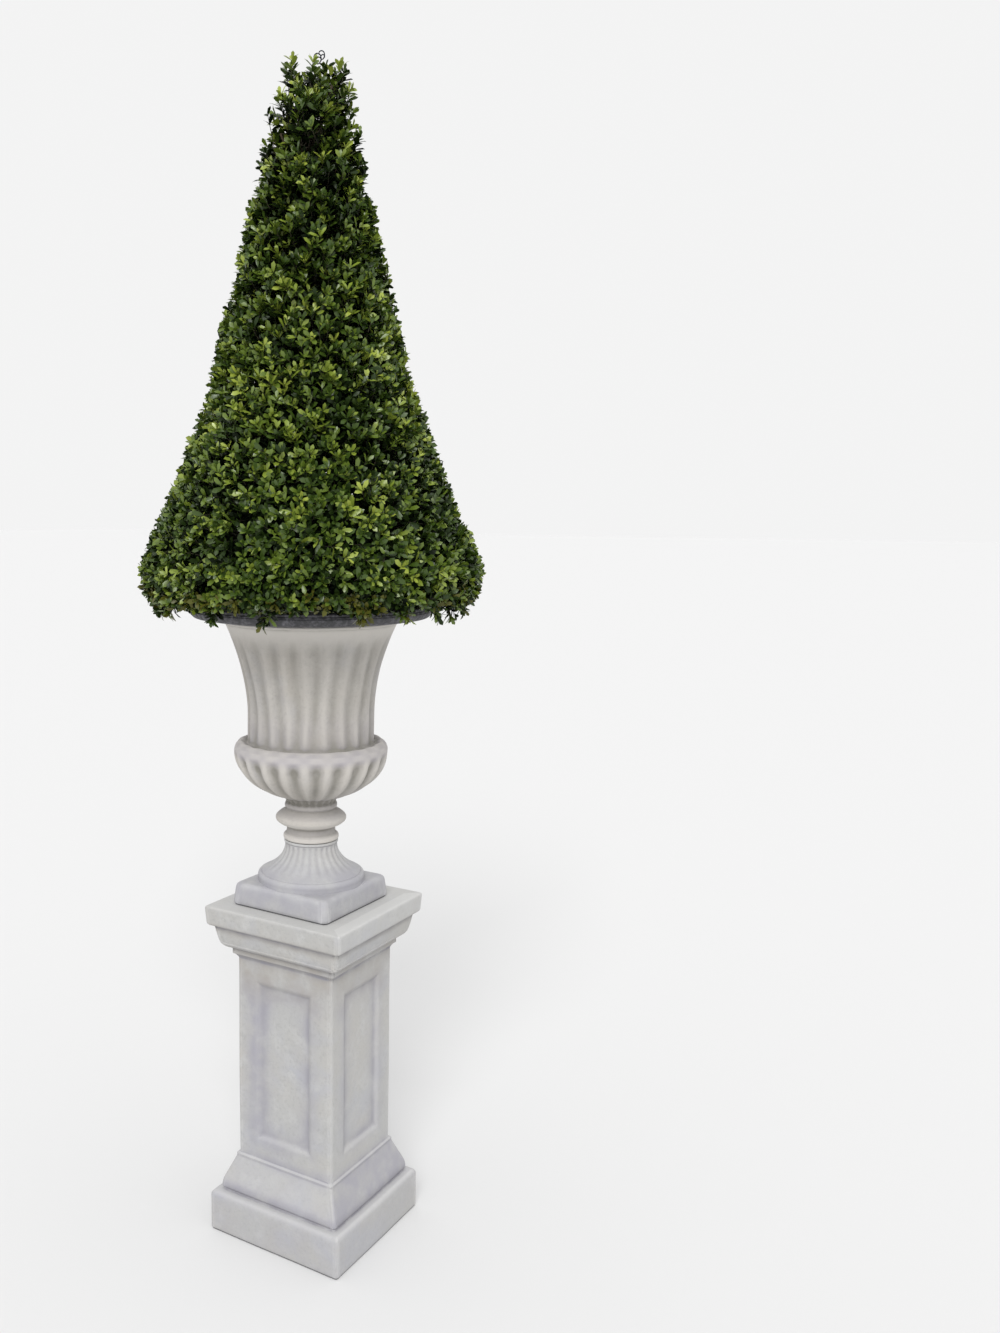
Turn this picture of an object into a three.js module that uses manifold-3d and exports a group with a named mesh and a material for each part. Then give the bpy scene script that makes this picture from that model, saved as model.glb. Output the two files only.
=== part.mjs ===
// Artificial boxwood cone topiary in a fluted campana urn on a square panelled pedestal.
// Millimetres, +Z up. The origin is the middle of the pedestal's underside, and the pedestal's
// faces look along X and Y. From the ground up: pedestal, urn foot, urn vase, dark lip, planting
// fill, a short stem and one clipped cone of foliage. Outlines are lists of [radius, height] or
// [radius, height, round] corners, where a round softens the corner. All heights are above the ground.

import * as THREE from "three";
import { mergeVertices, toCreasedNormals } from "three/addons/utils/BufferGeometryUtils.js";
import Module from "manifold-3d";

const wasm = await Module();
wasm.setup();

// Gap left between pieces that touch
const seat = 0.3;

// Pedestal: half-widths and heights
const pedestalHeight = 762;
const plinthHalf = 172;
const plinthHeight = 92;
const baseMouldHalf = 153;
const baseCoveHalf = 132;
const shaftHalf = 124;
const shaftFoot = 180;
const shaftHead = 640;
const collarHalf = 134;
const underCapHalf = 156;
const capHalf = 177;
const slabFoot = 720;
const castEdge = 6;
const panelHalfWidth = 75;
const panelFoot = 223;
const panelHead = 596;
const panelBevel = 12;
const panelDepth = 7;

// Urn: it stands a little off the middle of its pedestal, and turned a little
const urnShift = [-5, -9];
const urnTurn = -1;
const urnPlinthHalf = 126;
const urnPlinthTop = 812;
const urnPlinthEdge = 12;
const footRingRadius = 118;
const footRingTop = 833;
const footTop = 904;
const footFluteTop = 850;
const neckRadius = 54;
const lowRingRadius = 61;
const lowRingHeight = 911;
const discRadius = 78;
const discHeight = 953;
const highRingRadius = 57;
const highRingHeight = 982;
const bowlFoot = 994;
const bowlRadius = 169;
const bowlMiddle = 1102;
const bowlDrop = 108;
const bellFoot = 1116;
const bellRadius = 139;
const bellWaist = 1190;
const bellTop = 1384;
const bellTopRadius = 186;
const vaseTop = 1391;
const fluteCount = 22;
const fluteTurn = -2;
const footFluteCount = 26;
const footFluteDepth = 3;
const gadroonDepth = 9;
const gadroonSpan = { foot: 986, full: 1030, fade: 1086, head: 1108 };
const fluteDepth = 5;
const fluteSpan = { foot: 1096, full: 1122, fade: 1340, head: 1373 };
const cavityFoot = 1125;
const cavityRadius = 116;
const mouthRadius = 166;
const lipRadius = 264;
const lipBottom = 1399;
const lipTop = 1429;

// Planting fill and stem
const fillTop = 1392;
const stemFootRadius = 26;
const stemRadius = 17;
const stemTipRadius = 13;
const stemTop = 1600;

// Foliage: the furthest reach of the leaf tips at each height
const foliageTop = 2556;
const foliageOutline = [
  [318, 1374],
  [346, 1408],
  [372, 1454],
  [379, 1508],
  [316, 1650],
  [235, 1860],
  [184, 2060],
  [136, 2262],
  [108, 2420],
  [96, 2500],
  [82, 2535],
  [60, foliageTop],
];
const coreFoot = 1434;
const coreTop = 2480;
const coreDepth = 40;
const coreLump = 10;
const skirtDrop = 20;
const stemSocket = 20;
const sideSprigs = 25;
const coreLeaves = 142;
const sprigRings = [
  { count: 10, height: coreFoot - 8, lift: -72 },
  { count: 11, height: 1492, lift: 8 },
  { count: 5, height: coreTop - 22, lift: 58 },
  { count: 4, height: coreTop - 4, lift: 97 },
];
const sprigSunk = 14;
const leafLength = 48;
const leafWidth = 30;
const leafThickness = 5;
const leafRoot = 2.4;
const twigRadius = 5;
const twigTipRadius = 4;
const shortestSprig = 3;
const pairSpacing = 22;

// Materials, in the colours of the real piece
const weatheredStone = new THREE.MeshStandardMaterial({ color: 0xb9b6b0, roughness: 0.9, metalness: 0 });
const darkStone = new THREE.MeshStandardMaterial({ color: 0x3b3b42, roughness: 0.75, metalness: 0 });
const plantingMix = new THREE.MeshStandardMaterial({ color: 0x2c241b, roughness: 1, metalness: 0 });
const bark = new THREE.MeshStandardMaterial({ color: 0x4a3a29, roughness: 0.9, metalness: 0 });
const boxwood = new THREE.MeshStandardMaterial({ color: 0x47602a, roughness: 0.6, metalness: 0 });

const degree = Math.PI / 180;
const goldenAngle = 137.508 * degree;

// A closed solid from a geometry, with its shared vertices merged
function solidOf(geometry) {
  const bare = new THREE.BufferGeometry();
  bare.setAttribute("position", geometry.getAttribute("position"));
  bare.setIndex(geometry.getIndex());
  const merged = mergeVertices(bare, 1e-3);
  const corners = merged.index.array;
  const faces = [];
  for (let i = 0; i < corners.length; i += 3) {
    const [a, b, c] = corners.slice(i, i + 3);
    if (a !== b && b !== c && c !== a) faces.push(a, b, c);
  }
  return new wasm.Manifold(
    new wasm.Mesh({
      numProp: 3,
      vertProperties: merged.attributes.position.array,
      triVerts: new Uint32Array(faces),
    }),
  );
}

// The largest body of a joined solid, without loose scraps or sealed hollows
function largestBody(solid) {
  return solid.decompose().reduce((a, b) => (b.volume() > a.volume() ? b : a));
}

// A named mesh from a solid, smooth where its faces meet at less than the crease angle
function meshOf(name, solid, material, crease = 32) {
  const { vertProperties, triVerts } = solid.getMesh();
  const geometry = new THREE.BufferGeometry();
  geometry.setAttribute("position", new THREE.BufferAttribute(vertProperties, 3));
  geometry.setIndex(new THREE.BufferAttribute(triVerts, 1));
  const mesh = new THREE.Mesh(toCreasedNormals(geometry, crease * degree), material);
  mesh.name = name;
  return mesh;
}

// The corners of an outline as points: a corner that has a round becomes a short curve
function softened(corners, steps = 2) {
  return corners.flatMap(([radius, height, round], i) => {
    const corner = new THREE.Vector2(radius, height);
    if (!round) return [corner];
    const [before, after] = [corners[i - 1], corners[i + 1]].map(([x, y]) => {
      const next = new THREE.Vector2(x, y);
      const share = Math.min(0.5, round / corner.distanceTo(next));
      return corner.clone().lerp(next, share);
    });
    return new THREE.QuadraticBezierCurve(before, corner, after).getPoints(steps);
  });
}

// Points along an ellipse about the axis, from one angle to another, in degrees above its middle
function ellipseArc(middleRadius, middleHeight, across, up, from, to, steps) {
  return Array.from({ length: steps + 1 }, (_, i) => {
    const angle = (from + ((to - from) * i) / steps) * degree;
    return new THREE.Vector2(
      middleRadius + across * Math.cos(angle),
      middleHeight + up * Math.sin(angle),
    );
  });
}

// Points at even steps between two heights, with the radius worked out at each
function curveBetween(low, high, steps, radiusAt) {
  return Array.from({ length: steps + 1 }, (_, i) => {
    const height = low + ((high - low) * i) / steps;
    return new THREE.Vector2(radiusAt(height), height);
  });
}

// A solid of revolution; place gives each point of the turned surface its final x and y
function turned(points, segments, place) {
  const geometry = new THREE.LatheGeometry(points, segments);
  geometry.rotateX(Math.PI / 2);
  const position = geometry.getAttribute("position");
  if (place) {
    for (let i = 0; i < position.count; i++) {
      const column = Math.floor(i / points.length) % segments;
      const { x: radius, y: height } = points[i % points.length];
      const [x, y] = place(radius, height, column);
      position.setXY(i, x, y);
    }
  }
  return solidOf(geometry);
}

// A square solid with the outline as its moulding and softened upright edges
function squared(corners, edge) {
  const columnsPerEdge = 3;
  return turned(softened(corners), 4 * columnsPerEdge, (half, height, column) => {
    const quarter = Math.floor(column / columnsPerEdge);
    const step = column % columnsPerEdge;
    const angle = (quarter + step / (columnsPerEdge - 1)) * 90 * degree;
    const round = Math.min(edge, half);
    const side = (half - round) * Math.SQRT2;
    const diagonal = (quarter + 0.5) * 90 * degree;
    return [
      side * Math.cos(diagonal) + round * Math.cos(angle),
      side * Math.sin(diagonal) + round * Math.sin(angle),
    ];
  });
}

// A solid of revolution with grooves: depthAt gives their depth at a height
function fluted(points, depthAt, count = fluteCount, columnsPerFlute = 3) {
  const segments = count * columnsPerFlute;
  return turned(points, segments, (radius, height, column) => {
    const groove = column % columnsPerFlute === 0 ? depthAt(height) : 0;
    const angle = ((column / segments) * 360 + fluteTurn) * degree;
    const depth = Math.min(groove, radius / 3);
    return [(radius - depth) * Math.cos(angle), (radius - depth) * Math.sin(angle)];
  });
}

// How far a height lies between two others, from 0 to 1
function between(height, low, high) {
  return Math.min(1, Math.max(0, (height - low) / (high - low)));
}

// A strength from 0 to 1 that rises from a span's foot, is full, and fades out at its head
function strengthIn(span, height) {
  return between(height, span.foot, span.full) * (1 - between(height, span.fade, span.head));
}

// Pedestal: one casting with a moulded foot, a shaft with a sunk panel in each face, and a cap
function pedestal() {
  const block = squared(
    [
      [0, 0],
      [plinthHalf, 0],
      [plinthHalf, plinthHeight, 8],
      [baseMouldHalf + 1, plinthHeight + 4],
      [baseMouldHalf, plinthHeight + 21, 7],
      [baseCoveHalf, shaftFoot - 20],
      [shaftHalf + 3, shaftFoot - 5, 3],
      [shaftHalf, shaftFoot],
      [shaftHalf, shaftHead],
      [collarHalf - 3, shaftHead + 9],
      [collarHalf, shaftHead + 10],
      [collarHalf, shaftHead + 22],
      [underCapHalf - 6, shaftHead + 29, 6],
      [underCapHalf, shaftHead + 40, 6],
      [underCapHalf + 5, slabFoot - 6],
      [capHalf - 3, slabFoot, 5],
      [capHalf, pedestalHeight, 5],
      [0, pedestalHeight],
    ],
    castEdge,
  );
  const cutters = [0, 90, 180, 270].map((angle) => panelCutter().rotate([0, 0, angle]));
  return block.subtract(wasm.Manifold.union(cutters));
}

// The solid that a panel's hollow is cut with: its sides slope in to the panel's floor
function panelCutter() {
  const height = panelHead - panelFoot;
  const proud = 2;
  const slope = panelBevel / panelDepth;
  const geometry = new THREE.BoxGeometry(2, 1, 2);
  const position = geometry.getAttribute("position");
  for (let i = 0; i < position.count; i++) {
    const outside = position.getY(i) < 0;
    const spread = outside ? slope * proud : -panelBevel;
    position.setXYZ(
      i,
      position.getX(i) * (panelHalfWidth + spread),
      outside ? -shaftHalf - proud : panelDepth - shaftHalf,
      (panelFoot + panelHead) / 2 + position.getZ(i) * (height / 2 + spread),
    );
  }
  return solidOf(geometry);
}

// Urn foot: square plinth, ring and fluted trumpet up to the joint under the lower ring
function urnFoot() {
  const plinth = squared(
    [
      [0, pedestalHeight + seat],
      [urnPlinthHalf, pedestalHeight + seat],
      [urnPlinthHalf - 5, urnPlinthTop, 9],
      [0, urnPlinthTop],
    ],
    urnPlinthEdge,
  );
  const trumpetHead = neckRadius + 3;
  const trumpetSpread = footRingRadius - 8 - trumpetHead;
  const trumpet = curveBetween(
    footRingTop,
    footTop,
    6,
    (height) => trumpetHead + trumpetSpread * (1 - between(height, footRingTop, footTop)) ** 2.6,
  );
  const outline = [
    new THREE.Vector2(0, urnPlinthTop - 10),
    new THREE.Vector2(footRingRadius, urnPlinthTop - 10),
    ...ellipseArc(footRingRadius - 6, footRingTop - 9, 6, 9, 0, 60, 2),
    ...trumpet,
    new THREE.Vector2(0, footTop),
  ];
  const flutes = (height) => footFluteDepth * between(height, footRingTop, footFluteTop);
  const round = fluted(outline, flutes, footFluteCount, 2);
  return plinth.add(round);
}

// The vase's outer radius at a height of the bell
function bellRadiusAt(height) {
  const rise = between(height, bellWaist, bellTop);
  return bellRadius + (bellTopRadius - bellRadius) * rise ** 1.8;
}

// Urn vase: turned collars, gadrooned bowl with a rolled rim, and fluted bell, open at the top
function urnVase() {
  const collars = turned(
    softened([
      [0, footTop + seat],
      [neckRadius + 3, footTop + seat],
      [lowRingRadius, lowRingHeight, 4],
      [neckRadius, lowRingHeight + 8],
      [neckRadius - 1, discHeight - 18],
      [discRadius - 7, discHeight - 11],
      [discRadius, discHeight, 5],
      [discRadius - 8, discHeight + 12],
      [neckRadius, highRingHeight - 8],
      [highRingRadius, highRingHeight, 3],
      [neckRadius, highRingHeight + 10],
      [neckRadius - 6, bowlFoot + 8],
      [0, bowlFoot + 8],
    ]),
    28,
  );
  const bowl = fluted(
    [
      new THREE.Vector2(0, bowlFoot),
      ...ellipseArc(0, bowlMiddle, bowlRadius, bowlDrop, -70, 0, 5),
      ...ellipseArc(bowlRadius - 16, bowlMiddle, 16, 24, 30, 90, 2),
      new THREE.Vector2(bellRadius + 1, bellFoot),
      new THREE.Vector2(0, bellFoot),
    ],
    (height) => gadroonDepth * strengthIn(gadroonSpan, height),
  );
  const bell = fluted(
    [
      new THREE.Vector2(0, bellFoot - 10),
      new THREE.Vector2(bellRadius, bellFoot - 10),
      ...curveBetween(bellFoot + 8, bellTop, 6, bellRadiusAt),
      new THREE.Vector2(bellTopRadius + 7, bellTop + 3),
      new THREE.Vector2(bellTopRadius + 7, vaseTop),
      new THREE.Vector2(0, vaseTop),
    ],
    (height) => fluteDepth * strengthIn(fluteSpan, height),
  );
  return collars.add(bowl).add(bell).subtract(hollow(vaseTop + 1, 0));
}

// The hollow of the vase up to a height, or the fill that lies in it at a clearance
function hollow(top, clearance) {
  const outline = [
    [0, cavityFoot + clearance],
    [cavityRadius - 16 - clearance, cavityFoot + clearance],
    [cavityRadius - clearance, cavityFoot + 25 + clearance],
    [cavityRadius + 2 - clearance, bellWaist + 15],
    [cavityRadius + 16 - clearance, bellTop - 78],
    [mouthRadius - clearance, vaseTop],
    [mouthRadius - clearance, top],
    [0, top],
  ];
  return turned(softened(outline), 30);
}

// Lip: a dark ring on the bell, flared underneath, with a rolled outer edge and an open mouth
function urnLip() {
  const foot = vaseTop + seat;
  const outline = softened([
    [mouthRadius + 4, foot],
    [bellTopRadius + 4, foot],
    [lipRadius - 32, lipBottom - 4],
    [lipRadius - 10, lipBottom],
    [lipRadius - 3, lipBottom + 7],
    [lipRadius, lipBottom + 18],
    [lipRadius - 3, lipTop - 7],
    [lipRadius - 10, lipTop],
    [lipRadius - 26, lipTop],
    [bellTopRadius + 14, lipTop - 23],
    [mouthRadius + 4, foot + 10],
  ]);
  return turned([...outline, outline[0]], 32);
}

// Short stem: flat cut at the fill, root flare, then an even taper up into the foliage
function stem() {
  const outline = softened([
    [0, fillTop + seat],
    [stemFootRadius, fillTop + seat],
    [stemRadius + 3, fillTop + 16],
    [stemRadius, fillTop + 48],
    [stemTipRadius, stemTop],
    [0, stemTop],
  ]);
  return turned(outline, 10);
}

// The same run of numbers from 0 to 1 for the same seed
function randomFrom(seed) {
  let state = seed;
  return () => {
    state = (state * 16807) % 2147483647;
    return state / 2147483647;
  };
}

// The foliage's reach at a height
function reachAt(height) {
  const after = foliageOutline.findIndex(([, level]) => level > height);
  if (after <= 0) return after === 0 ? foliageOutline[0][0] : 0;
  const [lowReach, low] = foliageOutline[after - 1];
  const [highReach, high] = foliageOutline[after];
  return lowReach + ((highReach - lowReach) * (height - low)) / (high - low);
}

// Whether a point is in the foliage's own space, clear of the lip and everything under it
function inFoliageSpace(point) {
  const radius = Math.hypot(point.x, point.y);
  const overUrn = radius < lipRadius + 4 && point.z < lipTop + 3;
  return !overUrn && point.z < foliageTop && point.z > foliageOutline[0][1] && radius < reachAt(point.z);
}

// The height that a share of the cone's side lies above, counted from the top
function heightAtShare(share) {
  const slices = 80;
  const slice = (coreTop - coreFoot) / slices;
  const heights = Array.from({ length: slices }, (_, i) => coreTop - (i + 0.5) * slice);
  const whole = heights.reduce((sum, height) => sum + reachAt(height), 0);
  let sum = 0;
  return heights.find((height) => (sum += reachAt(height)) >= share * whole) ?? coreFoot;
}

// The core's radius at a height, without its lumps
function coreRadiusAt(height) {
  return reachAt(height) - coreDepth;
}

// A point on the core at a height, in the direction of an angle
function onCore(height, angle) {
  const radius = coreRadiusAt(height);
  return new THREE.Vector3(radius * Math.cos(angle), radius * Math.sin(angle), height);
}

// Whether a point lies in the core
function inCore(point) {
  return point.z > coreFoot && point.z < coreTop && Math.hypot(point.x, point.y) < coreRadiusAt(point.z);
}

// The direction of a sweep round the axis and a lift above level
function wayTo(sweep, lift) {
  return new THREE.Vector3(
    Math.cos(sweep) * Math.cos(lift),
    Math.sin(sweep) * Math.cos(lift),
    Math.sin(lift),
  );
}

// Lays a geometry that was made along +X along a direction, with its +Z side towards a facing
function laid(geometry, start, direction, facing) {
  const across = facing.clone().cross(direction).normalize();
  const up = direction.clone().cross(across);
  geometry.applyMatrix4(new THREE.Matrix4().makeBasis(direction, across, up).setPosition(start));
  return solidOf(geometry);
}

// A three-sided twig that tapers from its start to its end
function twig(start, direction, length, facing) {
  const geometry = new THREE.CylinderGeometry(twigTipRadius, twigRadius, length, 3);
  geometry.rotateZ(-90 * degree);
  geometry.translate(length / 2, 0, 0);
  return laid(geometry, start, direction, facing);
}

// A leaf of eight faces, or nothing where its tip would leave the foliage's space
function leaf(root, direction, facing, size) {
  const length = leafLength * size;
  const tip = root.clone().addScaledVector(direction, length - leafRoot);
  if (!inFoliageSpace(tip) || inCore(tip)) return [];
  const geometry = new THREE.OctahedronGeometry(1, 0);
  geometry.scale(length / 2, (leafWidth * size) / 2, leafThickness / 2);
  geometry.translate(length / 2 - leafRoot, 0, 0);
  return [laid(geometry, root, direction, facing)];
}

// The way from a point to the edge of the foliage's space along a direction
function wayOut(start, direction) {
  const step = 3;
  let way = step;
  while (inFoliageSpace(start.clone().addScaledVector(direction, way))) way += step;
  return way - step;
}

// A sprig that ends at the foliage's edge: a twig out of the core, leaves in opposite pairs
// that each stand across the last, and a leaf at its end
function sprig(root, lift, sweep, random) {
  const direction = wayTo(sweep, lift);
  const side = new THREE.Vector3(-Math.sin(sweep), Math.cos(sweep), 0);
  const endLeaf = 0.65 + 0.2 * random();
  const reach = wayOut(root, direction) * (0.96 + 0.04 * random());
  const length = Math.max(shortestSprig, reach - leafLength * endLeaf);
  const start = root.clone().addScaledVector(direction, -sprigSunk);
  const end = root.clone().addScaledVector(direction, length);
  const parts = [twig(start, direction, length + sprigSunk, side)];
  const pairs = Math.min(3, Math.ceil((length + sprigSunk) / pairSpacing));
  const turn = 360 * degree * random();
  for (let pair = 0; pair < pairs; pair++) {
    const place = end.clone().addScaledVector(direction, -4 - pair * pairSpacing);
    for (const half of [0, 180]) {
      const out = side.clone().applyAxisAngle(direction, turn + (pair * 90 + half) * degree);
      const lean = out.addScaledVector(direction, 0.3 + 0.45 * random()).normalize();
      parts.push(...leaf(place, lean, direction, 0.8 + 0.2 * random()));
    }
  }
  parts.push(...leaf(end, direction, side, endLeaf));
  return parts;
}

// The foliage's core: a lumpy cone that the sprigs stand out of
function core() {
  const rows = 20;
  const segments = 20;
  const random = randomFrom(31);
  const side = curveBetween(coreFoot + 16, coreTop, rows, coreRadiusAt);
  const lumps = side.map(() => Array.from({ length: segments }, () => coreLump * (2 * random() - 1)));
  const outline = [
    new THREE.Vector2(0, coreFoot),
    new THREE.Vector2(lipRadius + 8, coreFoot),
    new THREE.Vector2(lipRadius + 10, coreFoot - skirtDrop),
    new THREE.Vector2(side[0].x - 24, coreFoot - skirtDrop),
    ...side,
    new THREE.Vector2(side.at(-1).x / 2, coreTop + 20),
    new THREE.Vector2(0, coreTop + 30),
  ];
  return turned(outline, segments, (radius, height, column) => {
    const row = side.findIndex((point) => point.y === height);
    const angle = (column / segments) * 360 * degree;
    const lumpy = row < 0 ? radius : radius + lumps[row][column];
    return [lumpy * Math.cos(angle), lumpy * Math.sin(angle)];
  });
}

// Foliage: the core cut clear of the stem, with sprigs and leaves dealt evenly over its side, and
// rings of sprigs that hang at its skirt, stand out at its brim and rise at its crown
function foliage() {
  const random = randomFrom(7);
  const jitter = (spread) => spread * (random() - 0.5) * degree;
  const parts = [core()];
  for (let i = 0; i < sideSprigs; i++) {
    const height = heightAtShare((i + 0.5) / sideSprigs);
    const angle = i * goldenAngle;
    const lift = -12 + 50 * between(height, coreFoot, coreFoot + 300) + 15 * between(height, 2000, coreTop);
    parts.push(...sprig(onCore(height, angle), lift * degree + jitter(24), angle + jitter(40), random));
  }
  for (let i = 0; i < coreLeaves; i++) {
    const height = heightAtShare((i + 0.5) / coreLeaves);
    const angle = (i + 0.5) * goldenAngle + 60 * degree;
    const out = wayTo(angle + jitter(150), 38 * degree + jitter(50));
    const root = onCore(height, angle).addScaledVector(wayTo(angle, 0), -coreLump);
    parts.push(...leaf(root, out, wayTo(angle, -20 * degree), 1 + 0.15 * random()));
  }
  for (const { count, height, lift } of sprigRings) {
    for (let i = 0; i < count; i++) {
      const angle = (i / count) * 360 * degree;
      parts.push(...sprig(onCore(height, angle), lift * degree + jitter(10), angle + jitter(24), random));
    }
  }
  const socket = turned(
    softened([
      [0, coreFoot - 60],
      [stemSocket, coreFoot - 60],
      [stemSocket, stemTop + seat],
      [0, stemTop + seat],
    ]),
    10,
  );
  return largestBody(wasm.Manifold.union(parts).subtract(socket));
}

// The whole piece: the pedestal, and the planted urn that stands on it
const topiary = new THREE.Group();
topiary.name = "boxwood_cone_topiary";
topiary.add(meshOf("pedestal", pedestal(), weatheredStone));

const plantedUrn = new THREE.Group();
plantedUrn.position.set(...urnShift, 0);
plantedUrn.rotation.z = urnTurn * degree;
plantedUrn.add(meshOf("urn_foot", urnFoot(), weatheredStone));
plantedUrn.add(meshOf("urn_vase", urnVase(), weatheredStone));
plantedUrn.add(meshOf("urn_lip", urnLip(), darkStone));
plantedUrn.add(meshOf("planting_fill", hollow(fillTop, seat), plantingMix));
plantedUrn.add(meshOf("stem", stem(), bark));
plantedUrn.add(meshOf("foliage_cone", foliage(), boxwood, 20));
topiary.add(plantedUrn);

export default topiary;
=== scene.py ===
"""Artificial boxwood cone topiary in a fluted urn on a square panelled pedestal.

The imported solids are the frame. The pedestal, urn, lip and stem get their finer shapes here, and the
foliage cone is replaced by boughs, twigs and leaves that grow by the same rule as its solid. Sizes are
in millimetres, as on the real piece, and become metres where a mesh is made.
"""

import math

import bpy
import numpy as np
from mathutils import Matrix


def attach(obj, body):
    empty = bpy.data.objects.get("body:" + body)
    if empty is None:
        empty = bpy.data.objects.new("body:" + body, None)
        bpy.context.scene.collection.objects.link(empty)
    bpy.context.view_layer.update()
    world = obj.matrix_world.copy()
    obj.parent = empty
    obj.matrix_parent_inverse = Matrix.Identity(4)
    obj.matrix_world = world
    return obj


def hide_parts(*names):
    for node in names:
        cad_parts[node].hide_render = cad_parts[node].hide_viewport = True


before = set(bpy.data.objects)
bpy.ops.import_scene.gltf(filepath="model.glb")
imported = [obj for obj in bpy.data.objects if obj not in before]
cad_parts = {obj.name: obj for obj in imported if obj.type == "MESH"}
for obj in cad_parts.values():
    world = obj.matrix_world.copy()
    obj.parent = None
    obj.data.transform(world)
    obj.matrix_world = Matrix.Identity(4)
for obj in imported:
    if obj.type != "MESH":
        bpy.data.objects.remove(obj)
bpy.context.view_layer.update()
scene = bpy.context.scene

MM = 0.001
SEAT = 0.3
DEGREE = math.pi / 180
GOLDEN_ANGLE = 137.508 * DEGREE
LEVEL = np.array([1, 1, 0])

# Camera: where it stood against the pedestal's middle, and the photograph's size in pixels
CAMERA_PLACE = (1463.7, -2170.7, 1636)
CAMERA_TURN = 34.2
CAMERA_PITCH = 7.6
FOCAL_PIXELS = 1211
PICTURE_WIDTH = 1000
PICTURE_HEIGHT = 1333
OBJECT_AXIS_PIXEL = 311
SENSOR = 36

# Pedestal: half-widths and heights
PEDESTAL_HEIGHT = 762
PLINTH_HALF = 172
PLINTH_HEIGHT = 92
BASE_MOULD_HALF = 153
BASE_COVE_HALF = 132
SHAFT_HALF = 124
SHAFT_FOOT = 180
SHAFT_HEAD = 640
COLLAR_HALF = 134
UNDER_CAP_HALF = 156
CAP_HALF = 177
SLAB_FOOT = 720
CAST_EDGE = 6
PANEL_HALF_WIDTH = 75
PANEL_FOOT = 223
PANEL_HEAD = 596
PANEL_BEVEL = 17
PANEL_DEPTH = 7

# The pedestal's outline from its underside to its top, as half-width, height and, where needed, round
PEDESTAL_CORNERS = (
    (PLINTH_HALF - 2, 0),
    (PLINTH_HALF - 1, 2.5),
    (PLINTH_HALF, 5),
    (PLINTH_HALF, PLINTH_HEIGHT, 11),
    (BASE_MOULD_HALF - 3, PLINTH_HEIGHT + 1, 3),
    (BASE_MOULD_HALF - 3, PLINTH_HEIGHT + 5, 2),
    (BASE_MOULD_HALF + 1, PLINTH_HEIGHT + 9, 3),
    (BASE_MOULD_HALF, PLINTH_HEIGHT + 23, 8),
    (BASE_COVE_HALF + 1, SHAFT_FOOT - 18, 8),
    (SHAFT_HALF + 5, SHAFT_FOOT - 8, 2),
    (SHAFT_HALF + 6, SHAFT_FOOT - 3, 2),
    (SHAFT_HALF, SHAFT_FOOT, 2),
    (SHAFT_HALF, SHAFT_HEAD, 3),
    (COLLAR_HALF - 3, SHAFT_HEAD + 9, 2),
    (COLLAR_HALF, SHAFT_HEAD + 10, 1),
    (COLLAR_HALF, SHAFT_HEAD + 22, 2),
    (UNDER_CAP_HALF - 6, SHAFT_HEAD + 29, 9),
    (UNDER_CAP_HALF, SHAFT_HEAD + 44, 12),
    (UNDER_CAP_HALF + 6, SLAB_FOOT - 5, 3),
    (CAP_HALF - 3, SLAB_FOOT, 5),
    (CAP_HALF, PEDESTAL_HEIGHT, 6),
    (CAP_HALF - 30, PEDESTAL_HEIGHT),
)

# Tints of the pedestal's stone: level bands of painted shade as middle, half-width and strength, then other
# strengths
PEDESTAL_SHADES = (
    (PLINTH_HEIGHT + 11, 14, 1.0),
    (SHAFT_FOOT + 6, 15, 0.55),
    (SHAFT_HEAD - 6, 30, 0.9),
    (SHAFT_HEAD + 26, 7, 0.5),
    (SLAB_FOOT - 7, 9, 0.9),
)
# Bands of painted shadow, darkened like the hollows: over the plinth's ledge, at the collar's foot and
# under the slab
PEDESTAL_SHADOW_BANDS = ((PLINTH_HEIGHT + 9, 9, 0.75), (SHAFT_HEAD + 2, 9, 0.35), (SLAB_FOOT - 6, 7, 0.45))
# Shares and strengths: dirt and painted shade kept on the shaft, painted shade on the base all round and in
# the right cove
SHAFT_DIRT_AND_SHADE = 0.5
BASE_SHADE_VEIL = 0.35
RIGHT_COVE_SHADE_VEIL = 0.6
# Painted light on upward faces, on the right face and more on the right of the slab
TOP_LIGHT = 0.55
RIGHT_LIGHT = 0.2
RIGHT_SLAB_LIGHT = 0.15
# The veil of painted shade turns dun from this depth below the shaft's head, and is fully dun at the second
DUN_DEPTH = 110
DUN_FULL = 20
# The dark line of painted contact shadow at the pedestal's foot, and how high it reaches
GROUND_CONTACT_SHADOW = 0.7
LINE_HEIGHT = 3

# The painted shade on the panels' borders: its strength and width, then what the left and the head add to
# them
VEIL_STRENGTHS = (0.5, 0.7, 0.5)
VEIL_WIDTHS = (21, 8, 14)

# How far in it lies, its left share on the side faces, and the spans over which left and head begin
VEIL_INSET = 6
VEIL_SIDE_ON = 0.2
VEIL_LEFT_SPAN = (60, -60)
VEIL_HEAD_SPAN = (PANEL_HEAD - 70, PANEL_HEAD - 30)

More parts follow.
